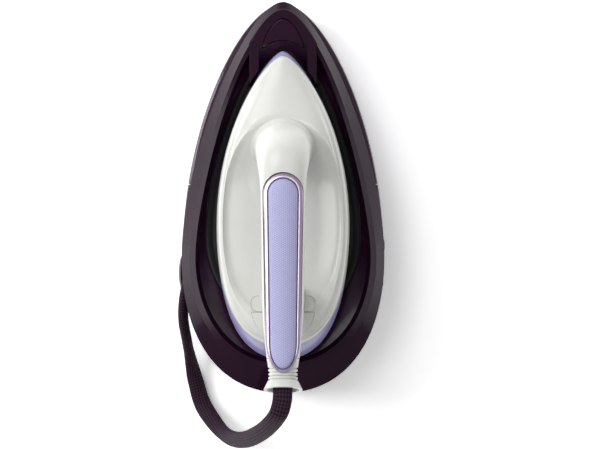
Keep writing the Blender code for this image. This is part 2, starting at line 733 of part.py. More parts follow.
def collar():
    """Faceted rim around the iron, cut out at the nose for the lock bracket."""
    foot = grow(CHAMFER_IN, -0.0032)
    tray_edge = grow(TRAY, 0.0006)
    rings = [
        ring(RIM, RIM_LEVEL, SLOPE),
        ring(RIM, RIM_LEVEL + 0.0020, SLOPE),
        ring(CHAMFER_OUT, CHAMFER_LEVEL, SLOPE),
        ring(CHAMFER_IN, CHAMFER_LEVEL + 0.0005, SLOPE),
        ring(foot, SOLE_LEVEL - 0.0008, SLOPE),
        ring(tray_edge, TRAY_LEVEL + 0.0010, SLOPE),
        ring(tray_edge, RIM_LEVEL, SLOPE),
        ring(grow(foot, -0.0020), SOLE_LEVEL - 0.0038, SLOPE),
        ring(grow(foot, 0.0010), SOLE_LEVEL - 0.0030, SLOPE),
        ring(grow(CHAMFER_OUT, -0.0030), CHAMFER_LEVEL - 0.0030, SLOPE),
        ring(grow(RIM, -0.0050), RIM_LEVEL, SLOPE),
    ]
    item = part("collar", skin(rings, closed=True), GLOSSY_PURPLE, sharp=15.0)
    boolean(item, cutter("bracket_seat", bracket_block(0.0004)))


def iron_tray():
    """Heat-proof tray inside the collar."""
    rings = [
        ring(grow(TRAY, -0.0060), RIM_LEVEL + 2.0 * GAP, SLOPE),
        ring(TRAY, RIM_LEVEL + 2.0 * GAP, SLOPE),
        ring(TRAY, TRAY_LEVEL, SLOPE),
        ring(grow(TRAY, -0.0022), TRAY_LEVEL + 0.0009, SLOPE),
        ring(grow(TRAY, -0.0050), TRAY_LEVEL, SLOPE),
        ring(grow(TRAY, -0.0070), TRAY_LEVEL - 0.0012, SLOPE),
    ]
    item = part("iron_tray", skin(rings), BLACK_RUBBER, sharp=20.0)
    boolean(item, cutter("bracket_seat_tray", bracket_block(0.0004)))


def rest_pads(deck):
    """Silicone strips under the soleplate, in the deck's tilted frame."""
    top = SOLE_LEVEL - TRAY_LEVEL + 0.0012 - 2.0 * GAP
    places = {
        "rest_pad_left": ((-0.0360, -0.0700), (-0.0290, 0.0000)),
        "rest_pad_right": ((0.0290, -0.0700), (0.0360, 0.0000)),
        "rest_pad_front": ((-0.0100, 0.0800), (0.0100, 0.0870)),
    }
    for name, (low, high) in places.items():
        pad = part(name, box((*low, GAP), (*high, top)), GREY_SILICONE, frame=deck)
        bevel(pad, 0.0012)


def bracket_plan(margin):
    """Straight sides that close over the nose in two curves."""
    half = BRACKET_HALF + margin
    front = BRACKET_FRONT + margin
    rear = BRACKET_REAR - margin
    nose = ((half, BRACKET_SIDE_END), (half - 0.0075, BRACKET_SIDE_END + 0.0145),
            (0.0110, front), (0.0, front))
    right = [(half, rear)] + [cubic(nose, i / 8.0) for i in range(9)]
    left = [(-x, y) for x, y in reversed(right[:-1])]
    return right + left


def bracket_top(y):
    """Height of the bracket's top, which falls towards the nose."""
    return BRACKET_TOP - BRACKET_FALL * (y - BRACKET_REAR)


def bracket_block(margin):
    """The bracket's place, cut right through the collar and the tray."""
    return prism(bracket_plan(margin), 0.0700, 0.1400)


def button_plan(margin):
    """Rounded triangle with its apex to the front and a hollow rear edge."""
    front = 0.1620 + margin
    corner_x = 0.0178 + margin
    corner_y = 0.1350 - margin
    hollow_y = corner_y + 0.0068
    side = ((0.0, front), (0.0075, front), (corner_x - 0.0010, corner_y + 0.0160),
            (corner_x, corner_y + 0.0010))
    rear = ((corner_x, corner_y), (0.0100, hollow_y - 0.0003), (0.0050, hollow_y), (0.0, hollow_y))
    right = [cubic(side, i / 6.0) for i in range(7)] + [cubic(rear, i / 4.0) for i in range(5)]
    left = [(-x, y) for x, y in reversed(right[1:-1])]
    return right + left


def prism(plan, bottom, top):
    return skin([[Vector((x, y, bottom)) for x, y in plan], [Vector((x, y, top)) for x, y in plan]])


def button_underside(y):
    """Height of the button's underside, clear of the latch by the button's travel."""
    return LATCH_TOP + 0.0045 - BRACKET_FALL * (y - BUTTON_CLEAR_Y)


def carrying_lock(iron):
    """Bracket, push button, latch and spring at the nose."""
    plan = bracket_plan(0.0)
    rings = [[Vector((x, y, BRACKET_BOTTOM)) for x, y in plan]]
    rings.append([Vector((x, y, bracket_top(y) - 0.0030)) for x, y in plan])
    rings.append([Vector((x * 0.93, y - 0.0020, bracket_top(y))) for x, y in plan])
    bracket = part("lock_bracket", skin(rings), GLOSSY_PURPLE)
    nose_room = skin([ring(grow(LAVENDER, 0.0042), -0.0300), ring(grow(LAVENDER, 0.0042), 0.1000)])
    boolean(bracket, cutter("nose_room", nose_room, frame=iron))
    boolean(bracket, cutter("button_pocket", prism(button_plan(0.0004), POCKET_FLOOR, 0.1500)))
    slot = box((-0.0074, 0.1200, LATCH_BOTTOM - GAP), (0.0074, 0.1450, LATCH_TOP + GAP))
    boolean(bracket, cutter("latch_slot", slot))
    plan = button_plan(0.0)
    button_rings = [[Vector((x, y, button_underside(y))) for x, y in plan],
                    [Vector((x, y, bracket_top(y) - 0.0004)) for x, y in plan]]
    button = part("lock_button", skin(button_rings), GLOSSY_PURPLE, pivot=LOCK_PIVOT)
    bevel(button, 0.0008)
    x, y = LOCK_PIVOT.xy
    latch_shape = box((-0.0070, 0.1345, LATCH_BOTTOM), (0.0070, 0.1430, LATCH_TOP))
    latch_pivot = (0.0, 0.1345, (LATCH_BOTTOM + LATCH_TOP) / 2.0)
    latch = part("lock_latch", latch_shape, DARK_PLASTIC, pivot=latch_pivot)
    bevel(latch, 0.0006)
    wire = 0.0005
    coil = helix((x, y), 0.0030, POCKET_FLOOR + GAP + wire, button_underside(y + 0.0040) - GAP - wire, 5)
    tube("lock_spring", coil, wire, STEEL)


# Iron, in its own frame.
def lower_edge(y):
    """Height of the seam between the lavender and the white shell."""
    return 0.0215 + 0.0215 * smooth((-0.050 - y) / 0.085) + 0.0020 * smooth((y - 0.060) / 0.060)


def deck_edge(y):
    """Height of the white shell's upper edge."""
    return 0.0500 - 0.0150 * smooth((y - 0.040) / 0.085) + 0.0030 * smooth((-0.060 - y) / 0.070)


def dish_edge(y):
    """Height of the deck around the dish, rising towards the front column."""
    return deck_edge(y) + 0.0120 * smooth((y - 0.005) / 0.055)


def soleplate(iron):
    rings = [
        ring(grow(SOLE, -0.0012), 0.0),
        ring(SOLE, 0.0010),
        ring(SOLE, SOLE_THICKNESS),
    ]
    item = part("soleplate", skin(rings), STEEL, frame=iron)
    holes = []
    for outline, count in ((grow(SOLE, -0.0120), 12), (grow(SOLE, -0.0240), 9)):
        points = outline_points(outline)[2:count * 2 + 2:2]
        for x, y in points:
            for side in (-1.0, 1.0):
                if abs(x) > 0.004 and y > -0.095:
                    holes.append(rod((side * x, y, -0.004), (side * x, y, 0.008), 0.0016, sides=6))
    boolean(item, cutter("steam_holes", several(holes), frame=iron))


def steam_chamber(iron):
    inner = grow(SOLE, -0.0130)
    rings = [ring(inner, SOLE_THICKNESS + GAP), ring(inner, 0.0140), ring(grow(inner, -0.0060), 0.0190)]
    part("steam_chamber", skin(rings), CAST_ALUMINIUM, frame=iron)
    disc = rod((0.0, 0.0300, 0.0190 + GAP), (0.0, 0.0300, 0.0270), 0.0100, 0.0085, sides=20)
    part("thermostat", disc, BRASS, frame=iron)
    for number, x in enumerate((-0.0250, 0.0250), start=1):
        head = rod((x, -0.0300, 0.0190 + GAP), (x, -0.0300, 0.0212), 0.0028, 0.0022, sides=10)
        part("chamber_screw_%d" % number, head, STEEL, frame=iron)


def heat_skirt(iron):
    outer = grow(SOLE, -0.0065)
    inner = grow(SOLE, -0.0120)
    rings = [ring(outer, SOLE_THICKNESS + GAP), ring(outer, SKIRT_TOP), ring(inner, SKIRT_TOP),
             ring(inner, SOLE_THICKNESS + GAP)]
    part("heat_skirt", skin(rings, closed=True), DARK_PLASTIC, frame=iron)


def lower_shell(iron):
    bottom = SKIRT_TOP + GAP
    rings = [
        ring(grow(LAVENDER, -0.0030), bottom),
        ring(grow(LAVENDER, -0.0004), 0.0140),
        ring(LAVENDER, 0.0170),
        ring(mix(LAVENDER, WHITE, 0.45), lambda y: 0.0170 + 0.62 * (lower_edge(y) - 0.0170)),
        ring(WHITE, lambda y: lower_edge(y) - GAP),
        ring(grow(WHITE, -0.0024), lambda y: lower_edge(y) - GAP),
        ring(grow(LAVENDER, -0.0045), 0.0175),
        ring(grow(SOLE, -0.0090), bottom),
    ]
    part("lower_shell", skin(rings, closed=True), LAVENDER_PLASTIC, frame=iron)


def white_rings(lift=0.0):
    """The white shell's outer face, from its lower edge over the deck to the middle of the dish."""
    def raised(height):
        return lambda y: height(y) + lift
    return [
        ring(WHITE, raised(lower_edge)),
        ring(grow(WHITE, -0.0012), raised(lambda y: 0.45 * lower_edge(y) + 0.55 * deck_edge(y))),
        ring(grow(WHITE, -0.0040), raised(lambda y: deck_edge(y) - 0.0020)),
        ring(grow(WHITE, -0.0062), raised(deck_edge)),
        ring(DISH, raised(dish_edge)),
        ring(grow(DISH, -0.0080), raised(lambda y: dish_edge(y) - 0.0035)),
        ring(DISH_FLOOR, raised(lambda y: dish_edge(y) - 0.0050)),
    ]


def body_shell(iron):
    """White upper shell, with the heel cover let into its deck."""
    inner = [
        ring(DISH_FLOOR, lambda y: dish_edge(y) - 0.0074),
        ring(grow(DISH, -0.0080), lambda y: dish_edge(y) - 0.0059),
        ring(grow(DISH, -0.0010), lambda y: dish_edge(y) - 0.0030),
        ring(grow(WHITE, -0.0080), lambda y: deck_edge(y) - 0.0026),
        ring(grow(WHITE, -0.0036), lambda y: 0.45 * lower_edge(y) + 0.55 * deck_edge(y)),
        ring(grow(WHITE, -0.0024), lower_edge),
    ]
    outer = white_rings()
    for name, operation, margin in (("body_shell", "DIFFERENCE", 0.0002), ("heel_cover", "INTERSECT", 0.0)):
        item = part(name, hollow(outer, inner), WHITE_PLASTIC, frame=iron)
        seam = prism(heel_plan(margin), 0.0250, 0.0800)
        boolean(item, cutter(name + "_seam", seam, frame=iron), operation)
        boolean(item, bpy.data.objects["steam_channel"])


def hollow(outer, inner):
    """A cap-shaped shell: outer face up to its crown, and the inner face back down."""
    bm = bmesh.new()
    outer_rows = [[bm.verts.new(point) for point in points] for points in outer]
    inner_rows = [[bm.verts.new(point) for point in points] for points in inner]
    count = len(outer_rows[0])
    pairs = list(zip(outer_rows, outer_rows[1:])) + list(zip(inner_rows, inner_rows[1:]))
    pairs.append((inner_rows[-1], outer_rows[0]))
    for lower, upper in pairs:
        for i in range(count):
            j = (i + 1) % count
            bm.faces.new((lower[i], lower[j], upper[j], upper[i]))
    bm.faces.new(outer_rows[-1])
    bm.faces.new(list(reversed(inner_rows[0])))
    return bm


def heel_plan(margin):
    """Shield shape of the heel cover, in plan."""
    half = 0.0285 + margin
    front = -0.0890 + margin
    rear = -0.1300 - margin
    side = ((half, front - 0.0060), (half, front - 0.0180), (0.0190, rear), (0.0, rear))
    nose = ((0.0, front), (half - 0.0020, front), (half, front - 0.0020), (half, front - 0.0060))
    right = [cubic(nose, i / 4.0) for i in range(4)] + [cubic(side, i / 6.0) for i in range(7)]
    left = [(-x, y) for x, y in reversed(right[1:-1])]
    return right + left


def crown(y):
    """Height of the handle's crown, straight over the grip's length."""
    return 0.1232 + (-0.0150 - y) * 0.0024 / 0.0900


def slot_plan(front, rear, front_half, rear_half, steps=8):
    """Plan of the grip and its ring: two round ends of different width joined by straight sides."""
    points = []
    for step in range(steps + 1):
        angle = math.pi * step / steps
        points.append((front_half * math.cos(angle), front - front_half + front_half * math.sin(angle)))
    for step in range(steps + 1):
        angle = math.pi + math.pi * step / steps
        points.append((rear_half * math.cos(angle), rear + rear_half + rear_half * math.sin(angle)))
    return points


def on_crown(plan, depth):
    """A plan laid at a depth below the handle's crown."""
    return [Vector((x, y, crown(y) - depth)) for x, y in plan]


def handle(iron):
    """Handle shell with its rear column; the top ring and the grip sit in a recess along its crown."""
    shell = part("handle_shell", skin(upright_sweep(HANDLE_STATIONS, 18)), WHITE_PLASTIC, frame=iron)
    column = cutter("rear_column", skin(upright_sweep(COLUMN_STATIONS, 8, sides=16)), frame=iron)
    boolean(shell, column, "UNION")
    block = skin([ring(WHITE, -0.0200)] + white_rings(lift=GAP))
    boolean(shell, cutter("deck_block", block, frame=iron))
    front, rear, front_half, rear_half = RING_PLAN
    plan = slot_plan(front + GAP, rear - 0.0200, front_half + GAP, rear_half + GAP)
    recess = skin([on_crown(plan, HANDLE_RECESS), on_crown(plan, -0.0300)])
    recess_cutter = cutter("top_recess", recess, frame=iron)
    boolean(shell, recess_cutter)
    pocket = box((-0.0084, -0.0280, 0.0800), (0.0084, 0.0150, 0.1070))
    boolean(shell, cutter("trigger_pocket", pocket, frame=iron))
    boolean(shell, bpy.data.objects["steam_channel"])

    boot = part("hose_boot", skin(upright_sweep(BOOT_STATIONS, 12)), WHITE_PLASTIC, frame=iron)
    boolean(boot, recess_cutter)
    boolean(boot, bpy.data.objects["steam_channel"])
    mouth = [(-0.1600, 0.1114, 0.0094, 0.0068), (-0.1680, 0.1130, 0.0104, 0.0078),
             (-0.1780, 0.1156, 0.0130, 0.0100)]
    boolean(boot, cutter("boot_mouth", skin(upright_sweep(mouth, 5, power=2.0, sides=16)), frame=iron))

    outer = slot_plan(*RING_PLAN)
    inner = slot_plan(GRIP_PLAN[0] + GAP, GRIP_PLAN[1] - GAP, GRIP_PLAN[2] + GAP, GRIP_PLAN[3] + GAP)
    floor = HANDLE_RECESS - GAP
    rings = [on_crown(outer, floor), on_crown(outer, floor - RING_HEIGHT * 0.6),
             on_crown(inner, floor - RING_HEIGHT), on_crown(inner, floor)]
    part("trim_ring", skin(rings, closed=True), MAUVE_METAL, frame=iron)
    edge = slot_plan(*GRIP_PLAN)
    top = slot_plan(GRIP_PLAN[0] - 0.003, GRIP_PLAN[1] + 0.003, GRIP_PLAN[2] - 0.003, GRIP_PLAN[3] - 0.003)
    shoulder = floor - GRIP_HEIGHT * 0.8
    rings = [on_crown(edge, floor), on_crown(edge, shoulder), on_crown(top, floor - GRIP_HEIGHT)]
    part("grip_pad", skin(rings), GRIP_RUBBER, frame=iron)


def trigger(iron):
    """Steam trigger under the front of the handle, its spring and the switch that it works."""
    blade = skin(upright_sweep(TRIGGER_STATIONS, 8, power=3.5, sides=12))
    part("steam_trigger", blade, LAVENDER_PLASTIC, frame=iron, pivot=TRIGGER_PIVOT)
    wire = 0.0004
    path = helix((0.0, -0.0180), 0.0026, 0.0990 + wire, 0.1070 - GAP - wire, 4)
    tube("trigger_spring", path, wire, STEEL, frame=iron)
    case = box((-0.0050, -0.0080, 0.1022), (0.0050, 0.0080, 0.1070 - GAP))
    switch = part("microswitch", case, DARK_PLASTIC, frame=iron)
    bevel(switch, 0.0005)


def steam_tube(iron):
    """Tube from the hose, down the rear column, to the steam chamber."""
    path = through(CHANNEL_PATH, 18)
    tube("steam_tube", path, PIPE_RADIUS, GREY_SILICONE, frame=iron)


# Hose.
def steam_hose():
    """Free stretch of the hose, from the boot to the groove."""
    here, outwards = groove_point(0.0)
    along = Vector((outwards.y, -outwards.x))
    end = (*(here - along * 0.0012), BASE_TOP + GAP + HOSE_WIDTH / 2.0)
    tube("steam_hose", through(HOSE_ROUTE + [end], 48), HOSE_TUBE_RADIUS, HOSE_BRAID, resolution=2)


def hose_winding():
    """Outer shape of the hose as wound in the groove: a lower and an upper turn."""
    bottom = BASE_TOP + GAP
    middle = bottom + HOSE_WIDTH
    top = middle + HOSE_WIDTH
    half = HOSE_THICKNESS / 2.0
    item = part("hose_winding", groove_band(LOWER_TURN, bottom, middle, half, 34), HOSE_BRAID)
    upper = cutter("upper_turn", groove_band(UPPER_TURN, middle - 0.0010, top, half - 0.0001, 36))
    boolean(item, upper, "UNION")


def hose_socket():
    """Housing on the groove's wall in which the hose ends, with the steam line behind it."""
    bottom = BASE_TOP + GAP + HOSE_WIDTH + GAP
    top = bottom + HOSE_WIDTH + 0.0020
    part("hose_socket", groove_band(SOCKET_SPAN, bottom, top, HOSE_THICKNESS / 2.0, 4), DARK_PLASTIC)
    x, y = STEAM_RISER
    height = BASE_TOP + HOSE_WIDTH * 1.5
    here, outwards = groove_point(sum(SOCKET_SPAN) / 2.0)
    end = here - outwards * (HOSE_THICKNESS / 2.0 + GAP)
    inner = here - outwards * 0.0220
    path = [(x, y, 0.0442), (x, y, 0.0600), (x, y - 0.0020, 0.0680), (x, y - 0.0060, height),
            (x, y - 0.0150, height), (inner.x, inner.y, height), (end.x, end.y, height)]
    tube("steam_riser", path, PIPE_RADIUS, GREY_SILICONE)


def tilted(name, height):
    """Empty at a height over the origin, tilted with the deck."""
    frame = bpy.data.objects.new(name, None)
    frame.location = (0.0, 0.0, height)
    frame.rotation_euler = (-DECK_TILT, 0.0, 0.0)
    PARTS.objects.link(frame)
    return frame


def build():
    global PARTS, CUTTERS
    clear_scene()
    PARTS = bpy.data.collections.new("steam_iron_station")
    CUTTERS = bpy.data.collections.new("cutters")
    bpy.context.scene.collection.children.link(PARTS)
    bpy.context.scene.collection.children.link(CUTTERS)
    deck = tilted("deck_frame", TRAY_LEVEL - 0.0012)
    iron = tilted("iron_frame", SOLE_LEVEL)
    base_plate()
    feet()
    base_screws()
    base_body()
    water_tank()
    tank_valve()
    inner_works()
    drain()
    control_panel()
    mains_inlet()
    winding_wall()
    groove_flange()
    collar()
    iron_tray()
    rest_pads(deck)
    carrying_lock(iron)
    soleplate(iron)
    steam_chamber(iron)
    heat_skirt(iron)
    tube_cutter("steam_channel", through(CHANNEL_PATH, 18), 0.0044, frame=iron)
    lower_shell(iron)
    body_shell(iron)
    handle(iron)
    trigger(iron)
    steam_tube(iron)
    steam_hose()
    hose_winding()
    hose_socket()


build()
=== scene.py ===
"""Looks of a steam iron on its base station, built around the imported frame.

Metres, +Z up, +Y to the nose.
"""

import math
from collections import namedtuple

import bmesh
import bpy
from mathutils import Matrix, Vector


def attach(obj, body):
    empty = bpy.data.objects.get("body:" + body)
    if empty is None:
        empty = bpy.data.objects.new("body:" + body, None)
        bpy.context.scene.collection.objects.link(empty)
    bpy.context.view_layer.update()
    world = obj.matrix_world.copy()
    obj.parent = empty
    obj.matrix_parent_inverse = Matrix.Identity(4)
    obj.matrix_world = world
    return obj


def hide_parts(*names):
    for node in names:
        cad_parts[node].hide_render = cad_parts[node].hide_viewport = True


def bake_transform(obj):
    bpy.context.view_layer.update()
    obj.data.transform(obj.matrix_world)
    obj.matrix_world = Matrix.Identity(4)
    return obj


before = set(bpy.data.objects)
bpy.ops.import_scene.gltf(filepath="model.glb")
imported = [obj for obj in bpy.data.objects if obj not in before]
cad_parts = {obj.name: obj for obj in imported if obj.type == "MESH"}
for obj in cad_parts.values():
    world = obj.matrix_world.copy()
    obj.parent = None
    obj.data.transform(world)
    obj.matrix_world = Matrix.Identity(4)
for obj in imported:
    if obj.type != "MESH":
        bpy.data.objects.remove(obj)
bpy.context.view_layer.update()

# Driving dimensions, repeated from the part's source.
DECK_TILT = math.radians(3.5)
SLOPE = math.tan(DECK_TILT)
GAP = 0.0003
PLATE_TOP = 0.009
BASE_TOP = 0.048
WALL = 0.0025
TANK_REAR = 0.0120
FLANGE_LEVEL = 0.0925
RIM_LEVEL = 0.0958
CHAMFER_LEVEL = 0.1100
TRAY_LEVEL = 0.0990
SOLE_LEVEL = 0.1040
SOLE_THICKNESS = 0.0040
SKIRT_TOP = 0.0112
BRACKET_BOTTOM = 0.0898
BRACKET_TOP = 0.1165
BRACKET_HALF = 0.0305
BRACKET_REAR = 0.1010
BRACKET_SIDE_END = 0.1400
BRACKET_FRONT = 0.1713
BRACKET_FALL = 0.12
BUTTON_CLEAR_Y = 0.1430
THROAT_HALF = 0.0222
THROAT_Y = 0.1418
THROAT_TILT = math.radians(31.0)
POCKET_FLOOR = 0.0925
LATCH_BOTTOM = 0.1018
LATCH_TOP = 0.1045
HANDLE_RECESS = 0.0065
GRIP_BEND_Y = -0.0130
GRIP_BEND_LENGTH = 0.0253
HOSE_WIDTH = 0.0165
HOSE_THICKNESS = 0.0090
GROOVE_MID = 0.0058
DRAIN_CENTRE = Vector((-0.0953, -0.0720, 0.0260))
DRAIN_LAND = -0.0935
KNOB_RADIUS = 0.0158
PANEL_MIDDLE = (-0.0625, 0.0275)
PANEL_HALF = (0.0325, 0.0110)
POWER_CENTRE = Vector((0.0970, -0.0460, 0.0290))
ECO_CENTRE = Vector((0.0958, -0.0800, 0.0290))

# The iron's own frame: its soleplate lies on the deck, which falls towards the nose.
IRON = Matrix.Translation((0.0, 0.0, SOLE_LEVEL)) @ Matrix.Rotation(-DECK_TILT, 4, "X")

QUARTER_STEPS = 36

# An outline is a drop shape: two cubic curves for its front and rear, mirrored in the plane x = 0.
Outline = namedtuple("Outline", "nose tail half wide nose_pull flank_pull back_pull tail_pull")
BELLY = Outline(0.1840, -0.1775, 0.0955, -0.0550, 0.40, 0.53, 0.48, 0.74)
RIM = Outline(0.1800, -0.1795, 0.0929, -0.0560, 0.34, 0.42, 0.50, 0.72)
CHAMFER_OUT = Outline(0.1650, -0.1567, 0.0850, -0.0570, 0.51, 0.23, 0.56, 0.62)
CHAMFER_IN = Outline(0.1586, -0.1521, 0.0797, -0.0550, 0.52, 0.24, 0.56, 0.62)
TRAY = Outline(0.1433, -0.1116, 0.0710, -0.0360, 0.36, 0.42, 0.30, 0.86)
WAIST = Outline(0.1180, -0.1560, 0.0710, -0.0550, 0.80, 0.42, 0.50, 0.72)
SOLE = Outline(0.1300, -0.1300, 0.0560, -0.0280, 0.26, 0.60, 0.50, 0.72)
LAVENDER = Outline(0.1310, -0.1485, 0.0594, -0.0280, 0.20, 0.58, 0.44, 0.84)
WHITE = Outline(0.1255, -0.1370, 0.0598, -0.0280, 0.24, 0.60, 0.52, 0.76)
DISH = Outline(0.0650, -0.1100, 0.0536, -0.0250, 0.62, 0.60, 0.62, 0.74)

# Grip and ring, seen from above: front, rear, front half width, rear half width.
RING_PLAN = (0.0110, -0.1580, 0.0172, 0.0148)
GRIP_PLAN = (0.0060, -0.1550, 0.0130, 0.0112)
REAR_STRETCH = 1.9
GRIP_CAMBER = 0.0046


# Curves and outlines.
def smooth(value):
    value = min(max(value, 0.0), 1.0)
    return value * value * (3.0 - 2.0 * value)


def through(points, count):
    """Evenly counted points of a smooth curve through points of any size (Catmull-Rom)."""
    points = [tuple(point) for point in points]
    chain = [tuple(2 * a - b for a, b in zip(points[0], points[1]))] + points
    chain.append(tuple(2 * a - b for a, b in zip(points[-1], points[-2])))
    result = []
    for step in range(count):
        place_on = step * (len(points) - 1) / (count - 1)
        index = min(int(place_on), len(points) - 2)
        t = place_on - index
        values = []
        for a, b, c, d in zip(*chain[index:index + 4]):
            values.append(0.5 * (2 * b + (c - a) * t + (2 * a - 5 * b + 4 * c - d) * t * t
                                 + (3 * b - a - 3 * c + d) * t ** 3))
        result.append(tuple(values))
    return result


def cubic(controls, t):
    u = 1.0 - t
    weights = (u ** 3, 3.0 * u * u * t, 3.0 * u * t * t, t ** 3)
    x = sum(weight * control[0] for weight, control in zip(weights, controls))
    y = sum(weight * control[1] for weight, control in zip(weights, controls))
    return x, y


def grow(outline, margin):
    return outline._replace(nose=outline.nose + margin, tail=outline.tail - margin,
                            half=outline.half + margin)


def mix(first, second, share):
    return Outline(*(a + (b - a) * share for a, b in zip(first, second)))


def mirrored(half, first=1):
    """A closed plan from one half and its mirror image; first is 1 where the half starts on the axis."""
    return half + [(-x, y) for x, y in reversed(half[first:-1])]


def outline_points(outline, steps=QUARTER_STEPS):
    """Anticlockwise from the nose: left flank, tail, right flank."""
    nose, tail, half, wide, nose_pull, flank_pull, back_pull, tail_pull = outline
    front = ((0.0, nose), (-nose_pull * half, nose),
             (-half, wide + flank_pull * (nose - wide)), (-half, wide))
    rear = ((-half, wide), (-half, wide - back_pull * (wide - tail)),
            (-tail_pull * half, tail), (0.0, tail))
    left = [cubic(front, i / steps) for i in range(steps)]
    left += [cubic(rear, i / steps) for i in range(steps + 1)]
    return mirrored(left)


def lay(plan, height, slope=0.0):
    """A plan's points at a height, which may be a function of y, on a plane that may fall forwards."""
    points = []
    for x, y in plan:
        level = height(y) if callable(height) else height
        points.append(Vector((x, y, level - slope * y)))
    return points


def ring(outline, height, slope=0.0):
    return lay(outline_points(outline), height, slope)


def between(rings, count):
    """Rings of a smooth surface through a few rings."""
    columns = [through(column, count) for column in zip(*rings)]
    return [[Vector(point) for point in row] for row in zip(*columns)]


def skin(rings, closed=False):
    """A solid over a stack of rings; closed joins the last ring to the first, as on a hollow band."""
    bm = bmesh.new()
    rows = [[bm.verts.new(point) for point in points] for points in rings]
    count = len(rows[0])
    pairs = list(zip(rows, rows[1:]))
    if closed:
        pairs.append((rows[-1], rows[0]))
    for lower, upper in pairs:
        for i in range(count):
            j = (i + 1) % count
            bm.faces.new((lower[i], lower[j], upper[j], upper[i]))
    if not closed:
        bm.faces.new(rows[0][::-1])
        bm.faces.new(rows[-1])
    return bm


def prism(plan, bottom, top):
    return skin([lay(plan, bottom), lay(plan, top)])


def slab(plan, low_x, high_x):
    """A solid square to X from an outline of (y, z) pairs."""
    return skin([[Vector((x, y, z)) for y, z in plan] for x in (low_x, high_x)])


def box(low, high):
    low, high = Vector(low), Vector(high)
    bm = bmesh.new()
    place = Matrix.Translation((low + high) / 2.0) @ Matrix.Diagonal((*(high - low), 1.0))
    bmesh.ops.create_cube(bm, size=1.0, matrix=place)
    return bm


def rod(start, end, radius, sides=32):
    start, end = Vector(start), Vector(end)
    direction = end - start
    turn = Vector((0.0, 0.0, 1.0)).rotation_difference(direction).to_matrix().to_4x4()
    bm = bmesh.new()
    bmesh.ops.create_cone(bm, cap_ends=True, segments=sides, radius1=radius, radius2=radius,
                          depth=direction.length, matrix=Matrix.Translation((start + end) / 2.0) @ turn)
    return bm


def turned(profile, matrix, sides=64):
    """A closed turned shape from (radius, height) pairs, with flat ends."""
    turns = [2 * math.pi * i / sides for i in range(sides)]
    rings = []
    for radius, height in profile:
        rings.append([matrix @ Vector((radius * math.cos(turn), radius * math.sin(turn), height))
                      for turn in turns])
    return skin(rings)


def several(shapes):
    """One bmesh of separate solids."""
    whole = bmesh.new()
    for shape in shapes:
        mesh = bpy.data.meshes.new("piece")
        bmesh.ops.recalc_face_normals(shape, faces=shape.faces)
        shape.to_mesh(mesh)
        shape.free()
        whole.from_mesh(mesh)
        bpy.data.meshes.remove(mesh)
    return whole


# Pieces.
def piece(name, bm, frame_matrix=None):
    """A mesh object in the scene, from a bmesh in world axes or in a frame of its own."""
    bmesh.ops.recalc_face_normals(bm, faces=bm.faces)
    mesh = bpy.data.meshes.new(name)
    bm.to_mesh(mesh)
    bm.free()
    item = bpy.data.objects.new(name, mesh)
    if frame_matrix is not None:
        item.matrix_world = frame_matrix
    bpy.context.scene.collection.objects.link(item)
    return item


def carve(item, shape, operation="DIFFERENCE"):
    """A Boolean with a shape given in the item's own frame, made final at once."""
    tool = piece("tool", shape, item.matrix_world.copy())
    modifier = item.modifiers.new("carve", "BOOLEAN")
    modifier.operation = operation
    modifier.solver = "EXACT"
    modifier.object = tool
    bpy.context.view_layer.update()
    settled = bpy.data.meshes.new_from_object(item.evaluated_get(bpy.context.evaluated_depsgraph_get()))
    item.modifiers.clear()
    old = item.data
    item.data = settled
    settled.name = item.name
    bpy.data.meshes.remove(old)
    bpy.data.objects.remove(tool, do_unlink=True)


def cut_off(bm, place, direction):
    """Keeps what lies against the direction from a plane, and closes the cut."""
    bmesh.ops.bisect_plane(bm, geom=bm.verts[:] + bm.edges[:] + bm.faces[:], plane_co=place,
                           plane_no=direction, clear_outer=True)
    bmesh.ops.holes_fill(bm, edges=[edge for edge in bm.edges if edge.is_boundary])


def soften(item, width, segments=3, angle=32.0):
    """Rounded edges with true normals."""
    modifier = item.modifiers.new("rounded_edges", "BEVEL")
    modifier.width = width
    modifier.segments = segments
    modifier.limit_method = "ANGLE"
    modifier.angle_limit = math.radians(angle)
    modifier.harden_normals = True


def shade(item, sharp=40.0):
    item.data.shade_smooth()
    item.data.set_sharp_from_angle(angle=math.radians(sharp))


def finish_piece(item, body, slot, nodes=(), width=0.0, angle=32.0, sharp=40.0, segments=3, look=None):
    """Shading, rounded edges, material, body and the CAD nodes that the piece stands for.

    The material is the one named like the slot, unless a look is named.
    """
    shade(item, sharp)
    if width:
        soften(item, width, segments, angle)
    item.data.materials.clear()
    item.data.materials.append(LOOKS[look or slot])
    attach(item, body)
    if nodes:
        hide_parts(*nodes)


# Materials.
def srgb(red, green, blue):
    values = []
    for channel in (red, green, blue):
        value = channel / 255.0
        values.append(value / 12.92 if value <= 0.04045 else ((value + 0.055) / 1.055) ** 2.4)
    return (*values, 1.0)


